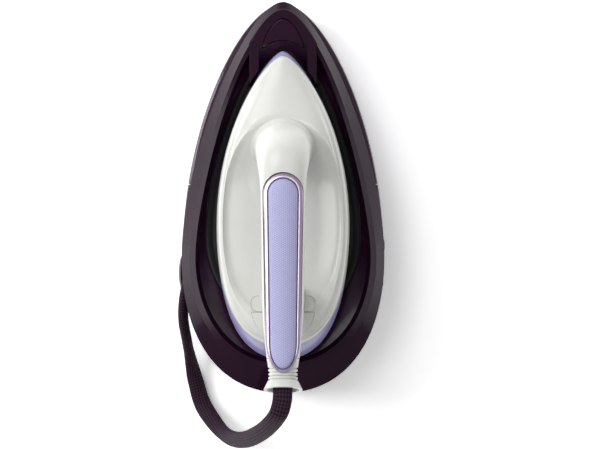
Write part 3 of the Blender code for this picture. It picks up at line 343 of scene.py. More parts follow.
class Nodes:
    """A material's node tree, with short names for what these materials use."""

    def __init__(self, name):
        self.material = bpy.data.materials.new(name)
        self.material.use_nodes = True
        self.tree = self.material.node_tree
        self.shader = self.tree.nodes["Principled BSDF"]
        self.coordinates = self.tree.nodes.new("ShaderNodeTexCoord").outputs["Object"]

    def link(self, source, target):
        if isinstance(source, (int, float)):
            target.default_value = source
        else:
            self.tree.links.new(source, target)

    def noise(self, scale, detail=3.0, roughness=0.5, stretch=None):
        node = self.tree.nodes.new("ShaderNodeTexNoise")
        node.inputs["Scale"].default_value = scale
        node.inputs["Detail"].default_value = detail
        node.inputs["Roughness"].default_value = roughness
        source = self.coordinates
        if stretch:
            mapping = self.tree.nodes.new("ShaderNodeMapping")
            mapping.inputs["Scale"].default_value = stretch
            self.link(source, mapping.inputs["Vector"])
            source = mapping.outputs["Vector"]
        self.link(source, node.inputs["Vector"])
        return node.outputs["Fac"]

    def math(self, operation, first, second=0.0, third=0.0):
        node = self.tree.nodes.new("ShaderNodeMath")
        node.operation = operation
        for source, target in zip((first, second, third), node.inputs):
            self.link(source, target)
        return node.outputs["Value"]

    def spread(self, value, low, high, from_low=0.3, from_high=0.7):
        """Maps a texture's middle range onto low to high."""
        node = self.tree.nodes.new("ShaderNodeMapRange")
        node.inputs["From Min"].default_value = from_low
        node.inputs["From Max"].default_value = from_high
        node.inputs["To Min"].default_value = low
        node.inputs["To Max"].default_value = high
        self.link(value, node.inputs["Value"])
        return node.outputs["Result"]

    def blend(self, share, first, second):
        node = self.tree.nodes.new("ShaderNodeMix")
        node.data_type = "RGBA"
        self.link(share, node.inputs["Factor"])
        node.inputs["A"].default_value = first
        node.inputs["B"].default_value = second
        return node.outputs["Result"]

    def bump(self, height, distance, strength=1.0):
        node = self.tree.nodes.new("ShaderNodeBump")
        node.inputs["Strength"].default_value = strength
        node.inputs["Distance"].default_value = distance
        self.link(height, node.inputs["Height"])
        self.link(node.outputs["Normal"], self.shader.inputs["Normal"])

    def set(self, **values):
        for name, value in values.items():
            self.shader.inputs[name.replace("_", " ")].default_value = value

    def drive(self, name, source):
        self.link(source, self.shader.inputs[name])


def plastic(name, dark, light, roughness, spread, grain, specular):
    """Moulded plastic: slow colour and gloss variation, and a fine spark texture where it has one."""
    nodes = Nodes(name)
    slow = nodes.noise(22.0, 4.0)
    colour = nodes.blend(nodes.spread(slow, 0.0, 1.0), srgb(*dark), srgb(*light))
    nodes.drive("Base Color", colour)
    handled = nodes.noise(140.0, 5.0, 0.6)
    gloss = nodes.spread(handled, roughness - spread, roughness + spread)
    nodes.drive("Roughness", gloss)
    if grain:
        nodes.bump(nodes.noise(2500.0, 2.0), grain)
    else:
        nodes.bump(nodes.noise(260.0, 1.0), 0.00002)
    nodes.set(Specular_IOR_Level=specular)
    return nodes


def metal(name, dark, light, roughness, spread, stretch, scale, depth):
    """Brushed or cast metal; stretch sets the direction of its lines."""
    nodes = Nodes(name)
    lines = nodes.noise(scale, 4.0, 0.6, stretch)
    colour = nodes.blend(nodes.spread(lines, 0.0, 1.0), srgb(*dark), srgb(*light))
    nodes.drive("Base Color", colour)
    gloss = nodes.spread(lines, roughness - spread, roughness + spread)
    nodes.drive("Roughness", gloss)
    nodes.set(Metallic=1.0)
    nodes.bump(lines, depth)
    return nodes.material


def grip_material():
    """Soft lavender grip with raised dots in a hexagonal pattern."""
    nodes = Nodes("grip_rubber")
    split = nodes.tree.nodes.new("ShaderNodeSeparateXYZ")
    nodes.link(nodes.coordinates, split.inputs["Vector"])
    x, y = split.outputs["X"], split.outputs["Y"]
    pitch = 2.0 * math.pi / 0.00165
    waves = []
    for angle in (0.0, 60.0, 120.0):
        along = nodes.math("MULTIPLY", x, pitch * math.cos(math.radians(angle)))
        across = nodes.math("MULTIPLY_ADD", y, pitch * math.sin(math.radians(angle)), along)
        waves.append(nodes.math("COSINE", across))
    total = nodes.math("ADD", nodes.math("ADD", waves[0], waves[1]), waves[2])
    dots = nodes.spread(total, 0.0, 1.0, -0.4, 1.6)
    nodes.drive("Base Color", nodes.blend(dots, srgb(166, 165, 208), srgb(196, 195, 234)))
    nodes.drive("Roughness", nodes.spread(dots, 0.62, 0.46, 0.0, 1.0))
    nodes.set(Sheen_Weight=0.12)
    nodes.bump(dots, 0.00016, 0.8)
    return nodes.material


def braid_material():
    """Woven sleeve: two crossing families of threads on the hose's own length and girth."""
    nodes = Nodes("hose_braid")
    source = nodes.tree.nodes.new("ShaderNodeUVMap")
    source.uv_map = "braid"
    split = nodes.tree.nodes.new("ShaderNodeSeparateXYZ")
    nodes.link(source.outputs["UV"], split.inputs["Vector"])
    girth = nodes.math("MULTIPLY", split.outputs["X"], 2.0 * math.pi * 9.0)
    length = nodes.math("MULTIPLY", split.outputs["Y"], 2.0 * math.pi / 0.0056)
    first = nodes.math("SINE", nodes.math("ADD", girth, length))
    second = nodes.math("SINE", nodes.math("SUBTRACT", girth, length))
    weave = nodes.spread(nodes.math("MULTIPLY", first, second), 0.0, 1.0, -0.9, 0.9)
    thread = nodes.math("SINE", nodes.math("MULTIPLY", nodes.math("ADD", girth, length), 4.0))
    height = nodes.math("MULTIPLY_ADD", thread, 0.10, weave)
    nodes.drive("Base Color", nodes.blend(weave, srgb(18, 7, 17), srgb(66, 45, 62)))
    nodes.drive("Roughness", nodes.spread(nodes.noise(900.0), 0.55, 0.78))
    nodes.shader.inputs["Specular IOR Level"].default_value = 0.10
    nodes.bump(height, 0.00035, 0.9)
    return nodes.material


# Plastics: darker and lighter colour, roughness and its spread, depth of the grain, specular level.
PLASTICS = {
    "glossy_purple": ((35, 14, 33), (41, 18, 38), 0.12, 0.02, 0.0, 0.17),
    "smoky_tank": ((76, 52, 73), (82, 58, 79), 0.08, 0.02, 0.0, 0.35),
    "dark_plastic": ((30, 26, 30), (36, 31, 36), 0.42, 0.06, 0.00004, 0.50),
    "white_plastic": ((214, 215, 210), (218, 219, 214), 0.20, 0.03, 0.0, 0.50),
    "lavender_plastic": ((150, 146, 192), (155, 151, 197), 0.24, 0.03, 0.0, 0.50),
    "black_rubber": ((14, 13, 15), (19, 18, 20), 0.66, 0.06, 0.00005, 0.50),
    "grey_silicone": ((40, 38, 41), (46, 44, 47), 0.55, 0.05, 0.00003, 0.50),
    "board_green": ((26, 74, 48), (34, 90, 58), 0.42, 0.06, 0.00003, 0.50),
    "light_lens": ((206, 220, 236), (216, 228, 242), 0.14, 0.03, 0.0, 0.50),
    "inner_gap": ((112, 102, 134), (120, 110, 142), 0.48, 0.05, 0.00002, 0.50),
}
SEE_THROUGH = {"smoky_tank": 0.35, "light_lens": 0.30}

# Metals: darker and lighter colour, roughness and its spread, stretch and scale of the lines, their depth.
METALS = {
    "mauve_ring": ((206, 188, 212), (214, 198, 220), 0.30, 0.03, (1.0, 0.04, 1.0), 400.0, 0.000002),
    "steel": ((186, 188, 192), (205, 206, 208), 0.24, 0.06, (1.0, 0.03, 1.0), 400.0, 0.00001),
    "cast_aluminium": ((140, 142, 145), (165, 166, 168), 0.52, 0.08, (1.0, 1.0, 1.0), 900.0, 0.00006),
    "brass": ((184, 152, 88), (200, 170, 104), 0.32, 0.06, (1.0, 1.0, 1.0), 400.0, 0.00001),
}


def make_materials():
    looks = {}
    for name, values in PLASTICS.items():
        nodes = plastic(name, *values)
        nodes.set(Transmission_Weight=SEE_THROUGH.get(name, 0.0))
        looks[name] = nodes.material
    for name, values in METALS.items():
        looks[name] = metal(name, *values)
    looks["grip_rubber"] = grip_material()
    looks["hose_braid"] = braid_material()
    looks["floor"] = floor_material()
    return looks


def floor_material():
    """Seamless paper, brighter than real paper so that it stays white under soft light."""
    nodes = Nodes("floor_paper")
    clouds = nodes.spread(nodes.noise(3.0), 0.0, 1.0)
    tint = nodes.blend(clouds, (1.84, 1.84, 1.85, 1.0), (1.87, 1.87, 1.88, 1.0))
    nodes.drive("Base Color", tint)
    nodes.set(Roughness=0.9)
    return nodes.material


# Studio.
LIGHT_SIZE = 0.8
LIGHT_TARGET = Vector((0.0, 0.0, 0.1))


def area_light(name, location, power):
    """A soft square light that faces the middle of the object."""
    data = bpy.data.lights.new(name, "AREA")
    data.shape = "SQUARE"
    data.size = LIGHT_SIZE
    data.energy = power
    light = bpy.data.objects.new(name, data)
    light.location = location
    light.rotation_euler = (LIGHT_TARGET - Vector(location)).to_track_quat("-Z", "Y").to_euler()
    bpy.context.scene.collection.objects.link(light)


def make_studio():
    world = bpy.data.worlds.new("studio")
    world.use_nodes = True
    background = world.node_tree.nodes["Background"]
    background.inputs["Color"].default_value = (1.0, 1.0, 1.0, 1.0)
    background.inputs["Strength"].default_value = 0.38
    bpy.context.scene.world = world
    bpy.context.scene.view_settings.view_transform = "Standard"
    area_light("ceiling_left", (-0.68, 0.30, 2.5), 10.0)
    area_light("ceiling_right", (0.68, 0.30, 2.5), 4.0)
    area_light("key", (-1.35, 0.40, 1.4), 16.0)
    area_light("low_front", (-0.60, 1.50, 0.8), 5.0)
    bm = bmesh.new()
    bmesh.ops.create_grid(bm, x_segments=8, y_segments=8, size=4.0)
    floor = piece("floor", bm)
    floor.data.materials.append(LOOKS["floor"])


def make_camera():
    data = bpy.data.cameras.new("camera")
    data.sensor_width = 36.0
    data.lens = 104.7
    data.shift_x = 0.0283
    data.clip_end = 20.0
    camera = bpy.data.objects.new("camera", data)
    camera.location = (0.0, -0.0259, 1.7)
    bpy.context.scene.collection.objects.link(camera)
    bpy.context.scene.camera = camera


# The hose, laid along the part's own route.
WINDING_START_Y = -0.0100
TURNS_END = 1.76
STEP_UP = (0.80, 0.97)
HOSE_ROUTE = [
    (0.0, -0.1536, 0.2252),
    (-0.0002, -0.1640, 0.2282),
    (-0.0010, -0.1760, 0.2296),
    (-0.0055, -0.1890, 0.2210),
    (-0.0185, -0.2070, 0.1750),
    (-0.0365, -0.2225, 0.1060),
    (-0.0550, -0.2245, 0.0460),
    (-0.0760, -0.2025, 0.0145),
    (-0.0846, -0.1765, 0.0125),
    (-0.0890, -0.1565, 0.0180),
    (-0.0920, -0.1365, 0.0300),
    (-0.0945, -0.1165, 0.0440),
    (-0.0935, -0.0970, 0.0540),
    (-0.0895, -0.0770, 0.0570),
    (-0.0840, -0.0550, 0.0570),
    (-0.0795, -0.0330, 0.0570),
]

# Which way the oval's wide side lies: station on the route, direction.
WIDE_HINTS = [
    (0.0, (1.0, 0.0, 0.0)),
    (3.0, (1.0, -0.2, 0.0)),
    (4.5, (0.73, -0.68, 0.0)),
    (6.0, (0.0, -1.0, 0.0)),
    (7.0, (-0.75, -0.60, 0.15)),
    (8.0, (-0.85, -0.20, 0.50)),
    (9.5, (-0.2, 0.0, 1.0)),
    (100.0, (0.0, 0.0, 1.0)),
]


def groove_path():
    """Points and running lengths of the groove's centre line, clockwise from the left flank."""
    wall = outline_points(WAIST, 40)[::-1]
    loop = []
    for index, (x, y) in enumerate(wall):
        before = wall[index - 1]
        after = wall[(index + 1) % len(wall)]
        along = Vector((after[0] - before[0], after[1] - before[1])).normalized()
        loop.append((x - along.y * GROOVE_MID, y + along.x * GROOVE_MID))
    left = [i for i in range(len(loop)) if loop[i][0] < 0.0]
    start = min(left, key=lambda i: abs(loop[i][1] - WINDING_START_Y))
    loop = loop[start:] + loop[:start + 1]
    lengths = [0.0]
    for (x0, y0), (x1, y1) in zip(loop, loop[1:]):
        lengths.append(lengths[-1] + math.hypot(x1 - x0, y1 - y0))
    return loop, lengths


def groove_point(groove, fraction):
    loop, lengths = groove
    distance = (fraction % 1.0) * lengths[-1]
    index = max(i for i in range(len(lengths) - 1) if lengths[i] <= distance)
    share = (distance - lengths[index]) / (lengths[index + 1] - lengths[index])
    return Vector(loop[index]).lerp(Vector(loop[index + 1]), share)


def hose_route():
    """The free stretch, then the turns in the groove."""
    groove = groove_path()
    low = BASE_TOP + GAP + HOSE_WIDTH / 2.0
    points = list(HOSE_ROUTE)
    points.append((*groove_point(groove, 0.0), low))
    steps = int(TURNS_END / 0.03)
    for step in range(1, steps + 1):
        fraction = TURNS_END * step / steps
        rise = smooth((fraction - STEP_UP[0]) / (STEP_UP[1] - STEP_UP[0]))
        points.append((*groove_point(groove, fraction), low + rise * HOSE_WIDTH))
    return points


def wide_hint(station):
    for (first, a), (second, b) in zip(WIDE_HINTS, WIDE_HINTS[1:]):
        if first <= station <= second:
            return Vector(a).lerp(Vector(b), (station - first) / (second - first))
    return Vector(WIDE_HINTS[-1][1])


def make_hose():
    route = hose_route()
    count = 520
    sides = 28
    centres = list(map(Vector, through(route, count)))
    lengths = [0.0]
    for first, second in zip(centres, centres[1:]):
        lengths.append(lengths[-1] + (second - first).length)
    bm = bmesh.new()
    layer = bm.loops.layers.uv.new("braid")
    rows = []
    for index, centre in enumerate(centres):
        along = (centres[min(index + 1, count - 1)] - centres[max(index - 1, 0)]).normalized()
        hint = wide_hint(index * (len(route) - 1) / (count - 1))
        wide = (hint - along * hint.dot(along)).normalized()
        thin = along.cross(wide)
        row = []
        for side in range(sides):
            angle = 2.0 * math.pi * side / sides
            row.append(bm.verts.new(centre + wide * (HOSE_WIDTH / 2.0 * math.cos(angle))
                                    + thin * (HOSE_THICKNESS / 2.0 * math.sin(angle))))
        rows.append(row)
    for index, (lower, upper) in enumerate(zip(rows, rows[1:])):
        for i in range(sides):
            j = (i + 1) % sides
            face = bm.faces.new((lower[i], lower[j], upper[j], upper[i]))
            corners = ((i, index), (i + 1, index), (i + 1, index + 1), (i, index + 1))
            for loop, (around, station) in zip(face.loops, corners):
                loop[layer].uv = (around / sides, lengths[station])
    bm.faces.new(rows[0][::-1])
    bm.faces.new(rows[-1])
    hose = piece("steam_hose_braid", bm)
    hose.data.shade_smooth()
    hose.data.materials.append(LOOKS["hose_braid"])
    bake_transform(hose)
    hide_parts("steam_hose", "hose_winding")


# Lower base.
LOWER_PROFILE = [(-0.0120, 0.0093), (-0.0083, 0.0140), (-0.0042, 0.0200), (-0.0012, 0.0300), (0.0, 0.0400)]
LOWER_EDGE = [(-0.0001, 0.0430), (-0.0006, 0.0455), (-0.0016, 0.0472), (-0.0034, 0.0480)]


def lower_skin(inset, bottom_lift=0.0, top_drop=0.0):
    """The flared side of the base, from its plate to the groove's floor."""
    profile = through(LOWER_PROFILE, 11) + LOWER_EDGE
    first, last = profile[0][1] + bottom_lift, profile[-1][1] - top_drop
    rings = []
    for grown, height in profile:
        rings.append(ring(grow(BELLY, grown - inset), min(max(height, first), last)))
    return skin(rings)


def half_of_base(front, inset=0.0, bottom_lift=0.0, top_drop=0.0, wall=0.0):
    """The front or rear part of the lower base as a closed solid."""
    bm = lower_skin(inset, bottom_lift, top_drop)
    if front:
        cut_off(bm, (0.0, TANK_REAR + GAP + wall, 0.0), (0.0, -1.0, 0.0))
    else:
        cut_off(bm, (0.0, TANK_REAR - GAP - wall, 0.0), (0.0, 1.0, 0.0))
    return bm


def rounded_plan(middle, reach, radius, steps):
    """A bar with round corners, whose centres lie at the reach to both sides of the middle."""
    plan = []
    for number, (first, second) in enumerate(((1, 1), (-1, 1), (-1, -1), (1, -1))):
        for step in range(steps + 1):
            angle = math.pi / 2.0 * (number + step / steps)
            plan.append((middle[0] + first * reach[0] + radius * math.cos(angle),
                         middle[1] + second * reach[1] + radius * math.sin(angle)))
    return plan


def rounded_slab(low_x, high_x, middle, half_y, half_z, radius):
    """A slab square to X with rounded corners."""
    return slab(rounded_plan(middle, (half_y - radius, half_z - radius), radius, 6), low_x, high_x)


def door_slab(margin):
    """A slab across the tank's right flank at the filler door."""
    points = outline_points(grow(BELLY, -0.0025), 10)
    index = len(points) - 7
    tangent = Vector(points[index + 1]) - Vector(points[index - 1])
    turn = math.atan2(tangent.y, tangent.x) - math.pi / 2.0
    door = rounded_slab(-0.0150, 0.0150, (0.0, 0.0), 0.0210 + margin, 0.0085 + margin, 0.0022)
    door.transform(Matrix.Translation((*points[index], 0.0270)) @ Matrix.Rotation(turn, 4, "Z"))
    return door


def make_lower_base():
    rear = piece("rear_casing", half_of_base(False))
    y, z = DRAIN_CENTRE.yz
    carve(rear, rod((DRAIN_LAND, y, z), (DRAIN_LAND - 0.0200, y, z), 0.0178, sides=64))
    carve(rear, rod((-0.0850, y, z), (-0.1000, y, z), 0.0100, sides=48))
    half_y, half_z = PANEL_HALF
    carve(rear, rounded_slab(0.0840, 0.1200, PANEL_MIDDLE, half_y + 0.0004, half_z + 0.0004, 0.0030))
    carve(rear, rod((0.0, -0.1650, 0.024), (0.0, -0.1950, 0.024), 0.0064, sides=48))
    finish_piece(rear, "base", "dark_plastic", ["base_body"], 0.0007, look="glossy_purple")

    tank = piece("front_tank", half_of_base(True))
    carve(tank, half_of_base(True, WALL, WALL, WALL, WALL))
    carve(tank, door_slab(0.0004))
    finish_piece(tank, "water_tank", "smoky_tank", ["water_tank"], 0.0006)
    door = piece("filler_door", half_of_base(True))
    carve(door, half_of_base(True, WALL, WALL, WALL, WALL))
    carve(door, door_slab(0.0), "INTERSECT")
    finish_piece(door, "tank_filler_door", "smoky_tank", ["tank_filler_door"], 0.0005)

    foot = grow(BELLY, -0.0135)
    rings = [ring(grow(foot, -0.0030), 0.0060), ring(grow(foot, -0.0015), 0.0062), ring(foot, 0.0074),
             ring(foot, PLATE_TOP)]
    plate = piece("bottom_plate", skin(rings))
    for place in ((-0.055, -0.100), (0.055, -0.100), (-0.060, -0.015), (0.060, -0.015)):
        carve(plate, rod((*place, 0.0), (*place, 0.02), 0.0021, sides=24))
    finish_piece(plate, "base", "dark_plastic", ["base_plate"], 0.0003)


def make_drain_knob():
    """Domed knob, scooped on both sides of a bar to turn it by."""
    turn = Matrix.Translation(DRAIN_CENTRE) @ Matrix.Rotation(-math.pi / 2.0, 4, "Y")
    profile = [(0.0001, 0.0006), (KNOB_RADIUS, 0.0006), (KNOB_RADIUS + 0.0008, 0.0012),
               (KNOB_RADIUS + 0.0007, 0.0018)]
    for step in range(16, 0, -1):
        share = step / 16.0
        profile.append((KNOB_RADIUS * share, 0.0022 + 0.0023 * (1.0 - share ** 4)))
    profile.append((0.0001, 0.0045))
    knob = piece("drain_knob_dome", turned(profile, turn))
    arc = [math.radians(-84.0 + 12.0 * i) for i in range(15)]
    hollow = [(0.0120 * math.cos(angle), 0.0048 * math.sin(angle)) for angle in arc]
    for side in (-1.0, 1.0):
        place = turn @ Matrix.Translation((0.0, side * 0.0092, 0.0070))
        carve(knob, turned(hollow, place @ Matrix.Diagonal((1.0, 0.55, 1.0, 1.0)), 48))
    finish_piece(knob, "drain_knob", "dark_plastic", ["drain_knob"], 0.0003, 30.0,
                 look="glossy_purple")


def power_sign():
    """Raised open circle with a bar."""
    arc = [math.radians(-140.0 + 280.0 * step / 20.0) for step in range(21)]
    inner = [(0.0018 * math.sin(angle), -0.0018 * math.cos(angle)) for angle in arc]
    outer = [(0.0023 * math.sin(angle), -0.0023 * math.cos(angle)) for angle in arc]
    bar = box((-0.0003, -0.00025, 0.0003), (0.0001, 0.00025, 0.0025))
    return [slab(inner + outer[::-1], -0.0002, 0.0001), bar]


def leaf_sign():
    leaf = []
    for step in range(24):
        angle = math.pi * step / 12.0
        leaf.append((0.0011 * math.sin(angle) * (1.0 + 0.3 * math.cos(angle)), 0.0021 * math.cos(angle)))
    return [slab(leaf, -0.0003, 0.0001)]


def make_panel():
    """Control panel with two buttons, each with a plain pictogram in relief."""
    panel = piece("panel_face", half_of_base(False))
    carve(panel, half_of_base(False, WALL, WALL, WALL))
    carve(panel, rounded_slab(0.0800, 0.1200, PANEL_MIDDLE, *PANEL_HALF, 0.0026), "INTERSECT")
    for name, centre, radius in (("power_button", POWER_CENTRE, 0.0058), ("eco_button", ECO_CENTRE, 0.0048)):
        inner = centre - Vector((0.0095, 0.0, 0.0))
        carve(panel, rod(inner, centre + Vector((0.0100, 0.0, 0.0)), radius + 0.0004, sides=48))
        turn = Matrix.Translation(centre) @ Matrix.Rotation(math.pi / 2.0, 4, "Y")
        profile = [(0.0002, -0.0095), (radius, -0.0095), (radius, -0.0006), (radius - 0.0006, 0.0),
                   (radius - 0.0011, -0.0001), (radius * 0.5, -0.0004), (0.0002, -0.0005)]
        button = piece(name + "_cap", turned(profile, turn))
        finish_piece(button, name, "glossy_purple", [name], sharp=50.0)
        marks = power_sign() if name == "power_button" else leaf_sign()
        mark = piece(name + "_mark", several(marks), Matrix.Translation(centre))
        finish_piece(mark, name, "light_lens")
    for y in (-0.0590, -0.0670):
        carve(panel, rod((0.0850, y, 0.0290), (0.1100, y, 0.0290), 0.0021, sides=24))
    finish_piece(panel, "base", "glossy_purple", ["control_panel"], 0.0004)


# Upper base.
def make_groove():
    inner = grow(WAIST, -0.0030)
    top = FLANGE_LEVEL - GAP
    rings = [ring(WAIST, BASE_TOP + GAP), ring(WAIST, top, SLOPE), ring(inner, top, SLOPE),
             ring(inner, BASE_TOP + GAP)]
    wall = piece("groove_wall", skin(rings, closed=True))
    finish_piece(wall, "base", "dark_plastic", ["winding_wall"])
    edge = grow(RIM, -0.0015)
    rings = [ring(inner, FLANGE_LEVEL, SLOPE), ring(WAIST, FLANGE_LEVEL, SLOPE),
             ring(edge, FLANGE_LEVEL + 0.0010, SLOPE), ring(edge, RIM_LEVEL - GAP, SLOPE),
             ring(inner, RIM_LEVEL - GAP, SLOPE)]
    ledge = piece("groove_ledge", skin(rings, closed=True))
    finish_piece(ledge, "base", "dark_plastic", ["groove_flange"], 0.0004)


def bracket_plan(margin):
    half = BRACKET_HALF + margin
    front = BRACKET_FRONT + margin
    rear = BRACKET_REAR - margin
    nose = ((half, BRACKET_SIDE_END), (half - 0.0075, BRACKET_SIDE_END + 0.0145),
            (0.0110, front), (0.0, front))
    right = [(half, rear), (half, rear + 0.0150), (half, rear + 0.0280)]
    right += [cubic(nose, i / 24.0) for i in range(25)]
    return mirrored(right, 0)


def button_plan(margin):
    front = 0.1620 + margin
    corner_x = 0.0188 + margin
    corner_y = 0.1350 - margin
    hollow_y = corner_y + 0.0068
    side = ((0.0, front), (0.0070, front), (corner_x - 0.0016, corner_y + 0.0130),
            (corner_x, corner_y + 0.0010))
    corner = ((corner_x, corner_y + 0.0010), (corner_x, corner_y + 0.0003), (corner_x - 0.0004, corner_y),
              (corner_x - 0.0010, corner_y + 0.0004))
    rear = ((corner_x - 0.0010, corner_y + 0.0004), (0.0100, hollow_y - 0.0006),
            (0.0050, hollow_y), (0.0, hollow_y))
    right = [cubic(side, i / 20.0) for i in range(20)] + [cubic(corner, i / 4.0) for i in range(4)]
    right += [cubic(rear, i / 14.0) for i in range(15)]
    return mirrored(right)


def bracket_top(y):
    return BRACKET_TOP - BRACKET_FALL * (y - BRACKET_REAR)


def make_collar():
    foot = grow(CHAMFER_IN, -0.0032)
    tray_edge = grow(TRAY, 0.0006)
    rings = [
        ring(RIM, RIM_LEVEL, SLOPE),
        ring(RIM, RIM_LEVEL + 0.0020, SLOPE),
        ring(CHAMFER_OUT, CHAMFER_LEVEL, SLOPE),
        ring(CHAMFER_IN, CHAMFER_LEVEL + 0.0005, SLOPE),
        ring(foot, SOLE_LEVEL - 0.0008, SLOPE),
        ring(tray_edge, TRAY_LEVEL + 0.0010, SLOPE),
        ring(tray_edge, RIM_LEVEL, SLOPE),
        ring(grow(foot, -0.0020), SOLE_LEVEL - 0.0038, SLOPE),
        ring(grow(foot, 0.0010), SOLE_LEVEL - 0.0030, SLOPE),
        ring(grow(CHAMFER_OUT, -0.0030), CHAMFER_LEVEL - 0.0030, SLOPE),
        ring(grow(RIM, -0.0050), RIM_LEVEL, SLOPE),
    ]
    collar = piece("collar_shell", skin(rings, closed=True))
    carve(collar, prism(bracket_plan(0.0007), 0.0700, 0.1400))
    finish_piece(collar, "base", "glossy_purple", ["collar"], 0.0007, 14.0, 30.0)

    bottom = RIM_LEVEL + 2.0 * GAP
    rings = [ring(grow(TRAY, -0.0060), bottom, SLOPE), ring(TRAY, bottom, SLOPE)]
    for inset, lift in ((0.0, -0.0002), (0.0003, 0.0001), (0.0014, 0.0006), (0.0022, 0.0009),
                        (0.0030, 0.0006), (0.0044, 0.0001), (0.0052, -0.0003), (0.0064, -0.0012),
                        (0.0072, -0.0013)):
        rings.append(ring(grow(TRAY, -inset), TRAY_LEVEL + lift, SLOPE))
    tray = piece("rest_tray", skin(rings))
    carve(tray, prism(bracket_plan(0.0004), 0.0700, 0.1400))
    finish_piece(tray, "base", "black_rubber", ["iron_tray"], 0.0002, 40.0)


def button_underside(y):
    return LATCH_TOP + 0.0045 - BRACKET_FALL * (y - BUTTON_CLEAR_Y)


def make_lock():
    plan = bracket_plan(0.0)
    shoulder = bracket_plan(-0.0012)
    rings = [lay(plan, BRACKET_BOTTOM), lay(plan, lambda y: bracket_top(y) - 0.0012),
             lay(shoulder, lambda y: bracket_top(y) - 0.0002)]
    bracket = piece("nose_bracket", skin(rings))
    nose = skin([ring(grow(LAVENDER, 0.0042), -0.0300), ring(grow(LAVENDER, 0.0042), 0.1000)])
    nose.transform(IRON)
    carve(bracket, nose)
    throat = box((-THROAT_HALF, -0.0800, 0.0), (THROAT_HALF, 0.0, 0.0500))
    edge = Matrix.Translation((0.0, THROAT_Y, bracket_top(THROAT_Y)))
    throat.transform(edge @ Matrix.Rotation(THROAT_TILT, 4, "X"))
    carve(bracket, throat)
    carve(bracket, prism(button_plan(0.0005), POCKET_FLOOR, 0.1500))
    carve(bracket, box((-0.0074, 0.1200, LATCH_BOTTOM - GAP), (0.0074, 0.1450, LATCH_TOP + GAP)))
    finish_piece(bracket, "base", "glossy_purple", ["lock_bracket"], 0.0005, 24.0, 30.0)

    plan = button_plan(0.0)
    middle = 0.1470
    rings = [lay(plan, button_underside)]
    for share, drop in ((1.0, 0.0014), (0.985, 0.0009), (0.955, 0.0006), (0.80, 0.0004),
                        (0.45, 0.0007), (0.05, 0.0009)):
        outline = [(x * share, middle + (y - middle) * share) for x, y in plan]
        rings.append(lay(outline, lambda y: bracket_top(y) - drop))
    button = piece("lock_button_cap", skin(rings))
    finish_piece(button, "lock_button", "glossy_purple", ["lock_button"], sharp=50.0)


# Iron, in its own frame.
def lower_edge(y):
    """Height of the seam between the lavender and the white shell."""
    return 0.0215 + 0.0215 * smooth((-0.050 - y) / 0.085) + 0.0020 * smooth((y - 0.060) / 0.060)


def deck_edge(y):
    """Height of the white shell's upper edge."""
    return 0.0500 - 0.0150 * smooth((y - 0.040) / 0.085) + 0.0030 * smooth((-0.060 - y) / 0.070)


def dish_edge(y):
    """Height of the deck around the dish, rising towards the front column."""
    return deck_edge(y) + 0.0120 * smooth((y - 0.005) / 0.055)


def make_soleplate():
    rings = [ring(grow(SOLE, -0.0016), 0.0), ring(grow(SOLE, -0.0006), 0.0003), ring(SOLE, 0.0011),
             ring(SOLE, SOLE_THICKNESS - 0.0003), ring(grow(SOLE, -0.0003), SOLE_THICKNESS)]
    sole = piece("steam_plate", skin(rings), IRON)
    holes = []
    for outline, count, radius in ((grow(SOLE, -0.0120), 24, 0.0016), (grow(SOLE, -0.0240), 18, 0.0013)):
        points = outline_points(outline, 20)
        for x, y in points[3:count + 3]:
            for side in (-1.0, 1.0):
                if abs(x) > 0.004 and y > -0.095:
                    holes.append(rod((side * x, y, -0.004), (side * x, y, 0.0030), radius, sides=14))
    carve(sole, several(holes))
    finish_piece(sole, "iron", "steel", ["soleplate"], 0.0003, 60.0)
    outer = grow(SOLE, -0.0065)
    inner = grow(SOLE, -0.0120)
    low = SOLE_THICKNESS + GAP
    skirt = piece("heat_band", skin([ring(outer, low), ring(outer, SKIRT_TOP), ring(inner, SKIRT_TOP),
                                     ring(inner, low)], closed=True), IRON)
    finish_piece(skirt, "iron", "dark_plastic", ["heat_skirt"])


def make_lower_shell():
    bottom = SKIRT_TOP + GAP
    outer = [
        ring(grow(LAVENDER, -0.0034), bottom),
        ring(grow(LAVENDER, -0.0012), 0.0128),
        ring(LAVENDER, 0.0160),
        ring(mix(LAVENDER, WHITE, 0.12), lambda y: 0.0185 + 0.12 * (lower_edge(y) - 0.0185)),
        ring(mix(LAVENDER, WHITE, 0.45), lambda y: 0.0185 + 0.55 * (lower_edge(y) - 0.0185)),
        ring(grow(WHITE, 0.0002), lambda y: lower_edge(y) - GAP),
    ]
    rings = between(outer, 22)
    rings += [ring(grow(WHITE, -0.0024), lambda y: lower_edge(y) - GAP), ring(grow(SOLE, -0.0090), bottom)]
    shell = piece("lavender_shell", skin(rings, closed=True), IRON)
    finish_piece(shell, "iron", "lavender_plastic", ["lower_shell"], 0.0004, 45.0)


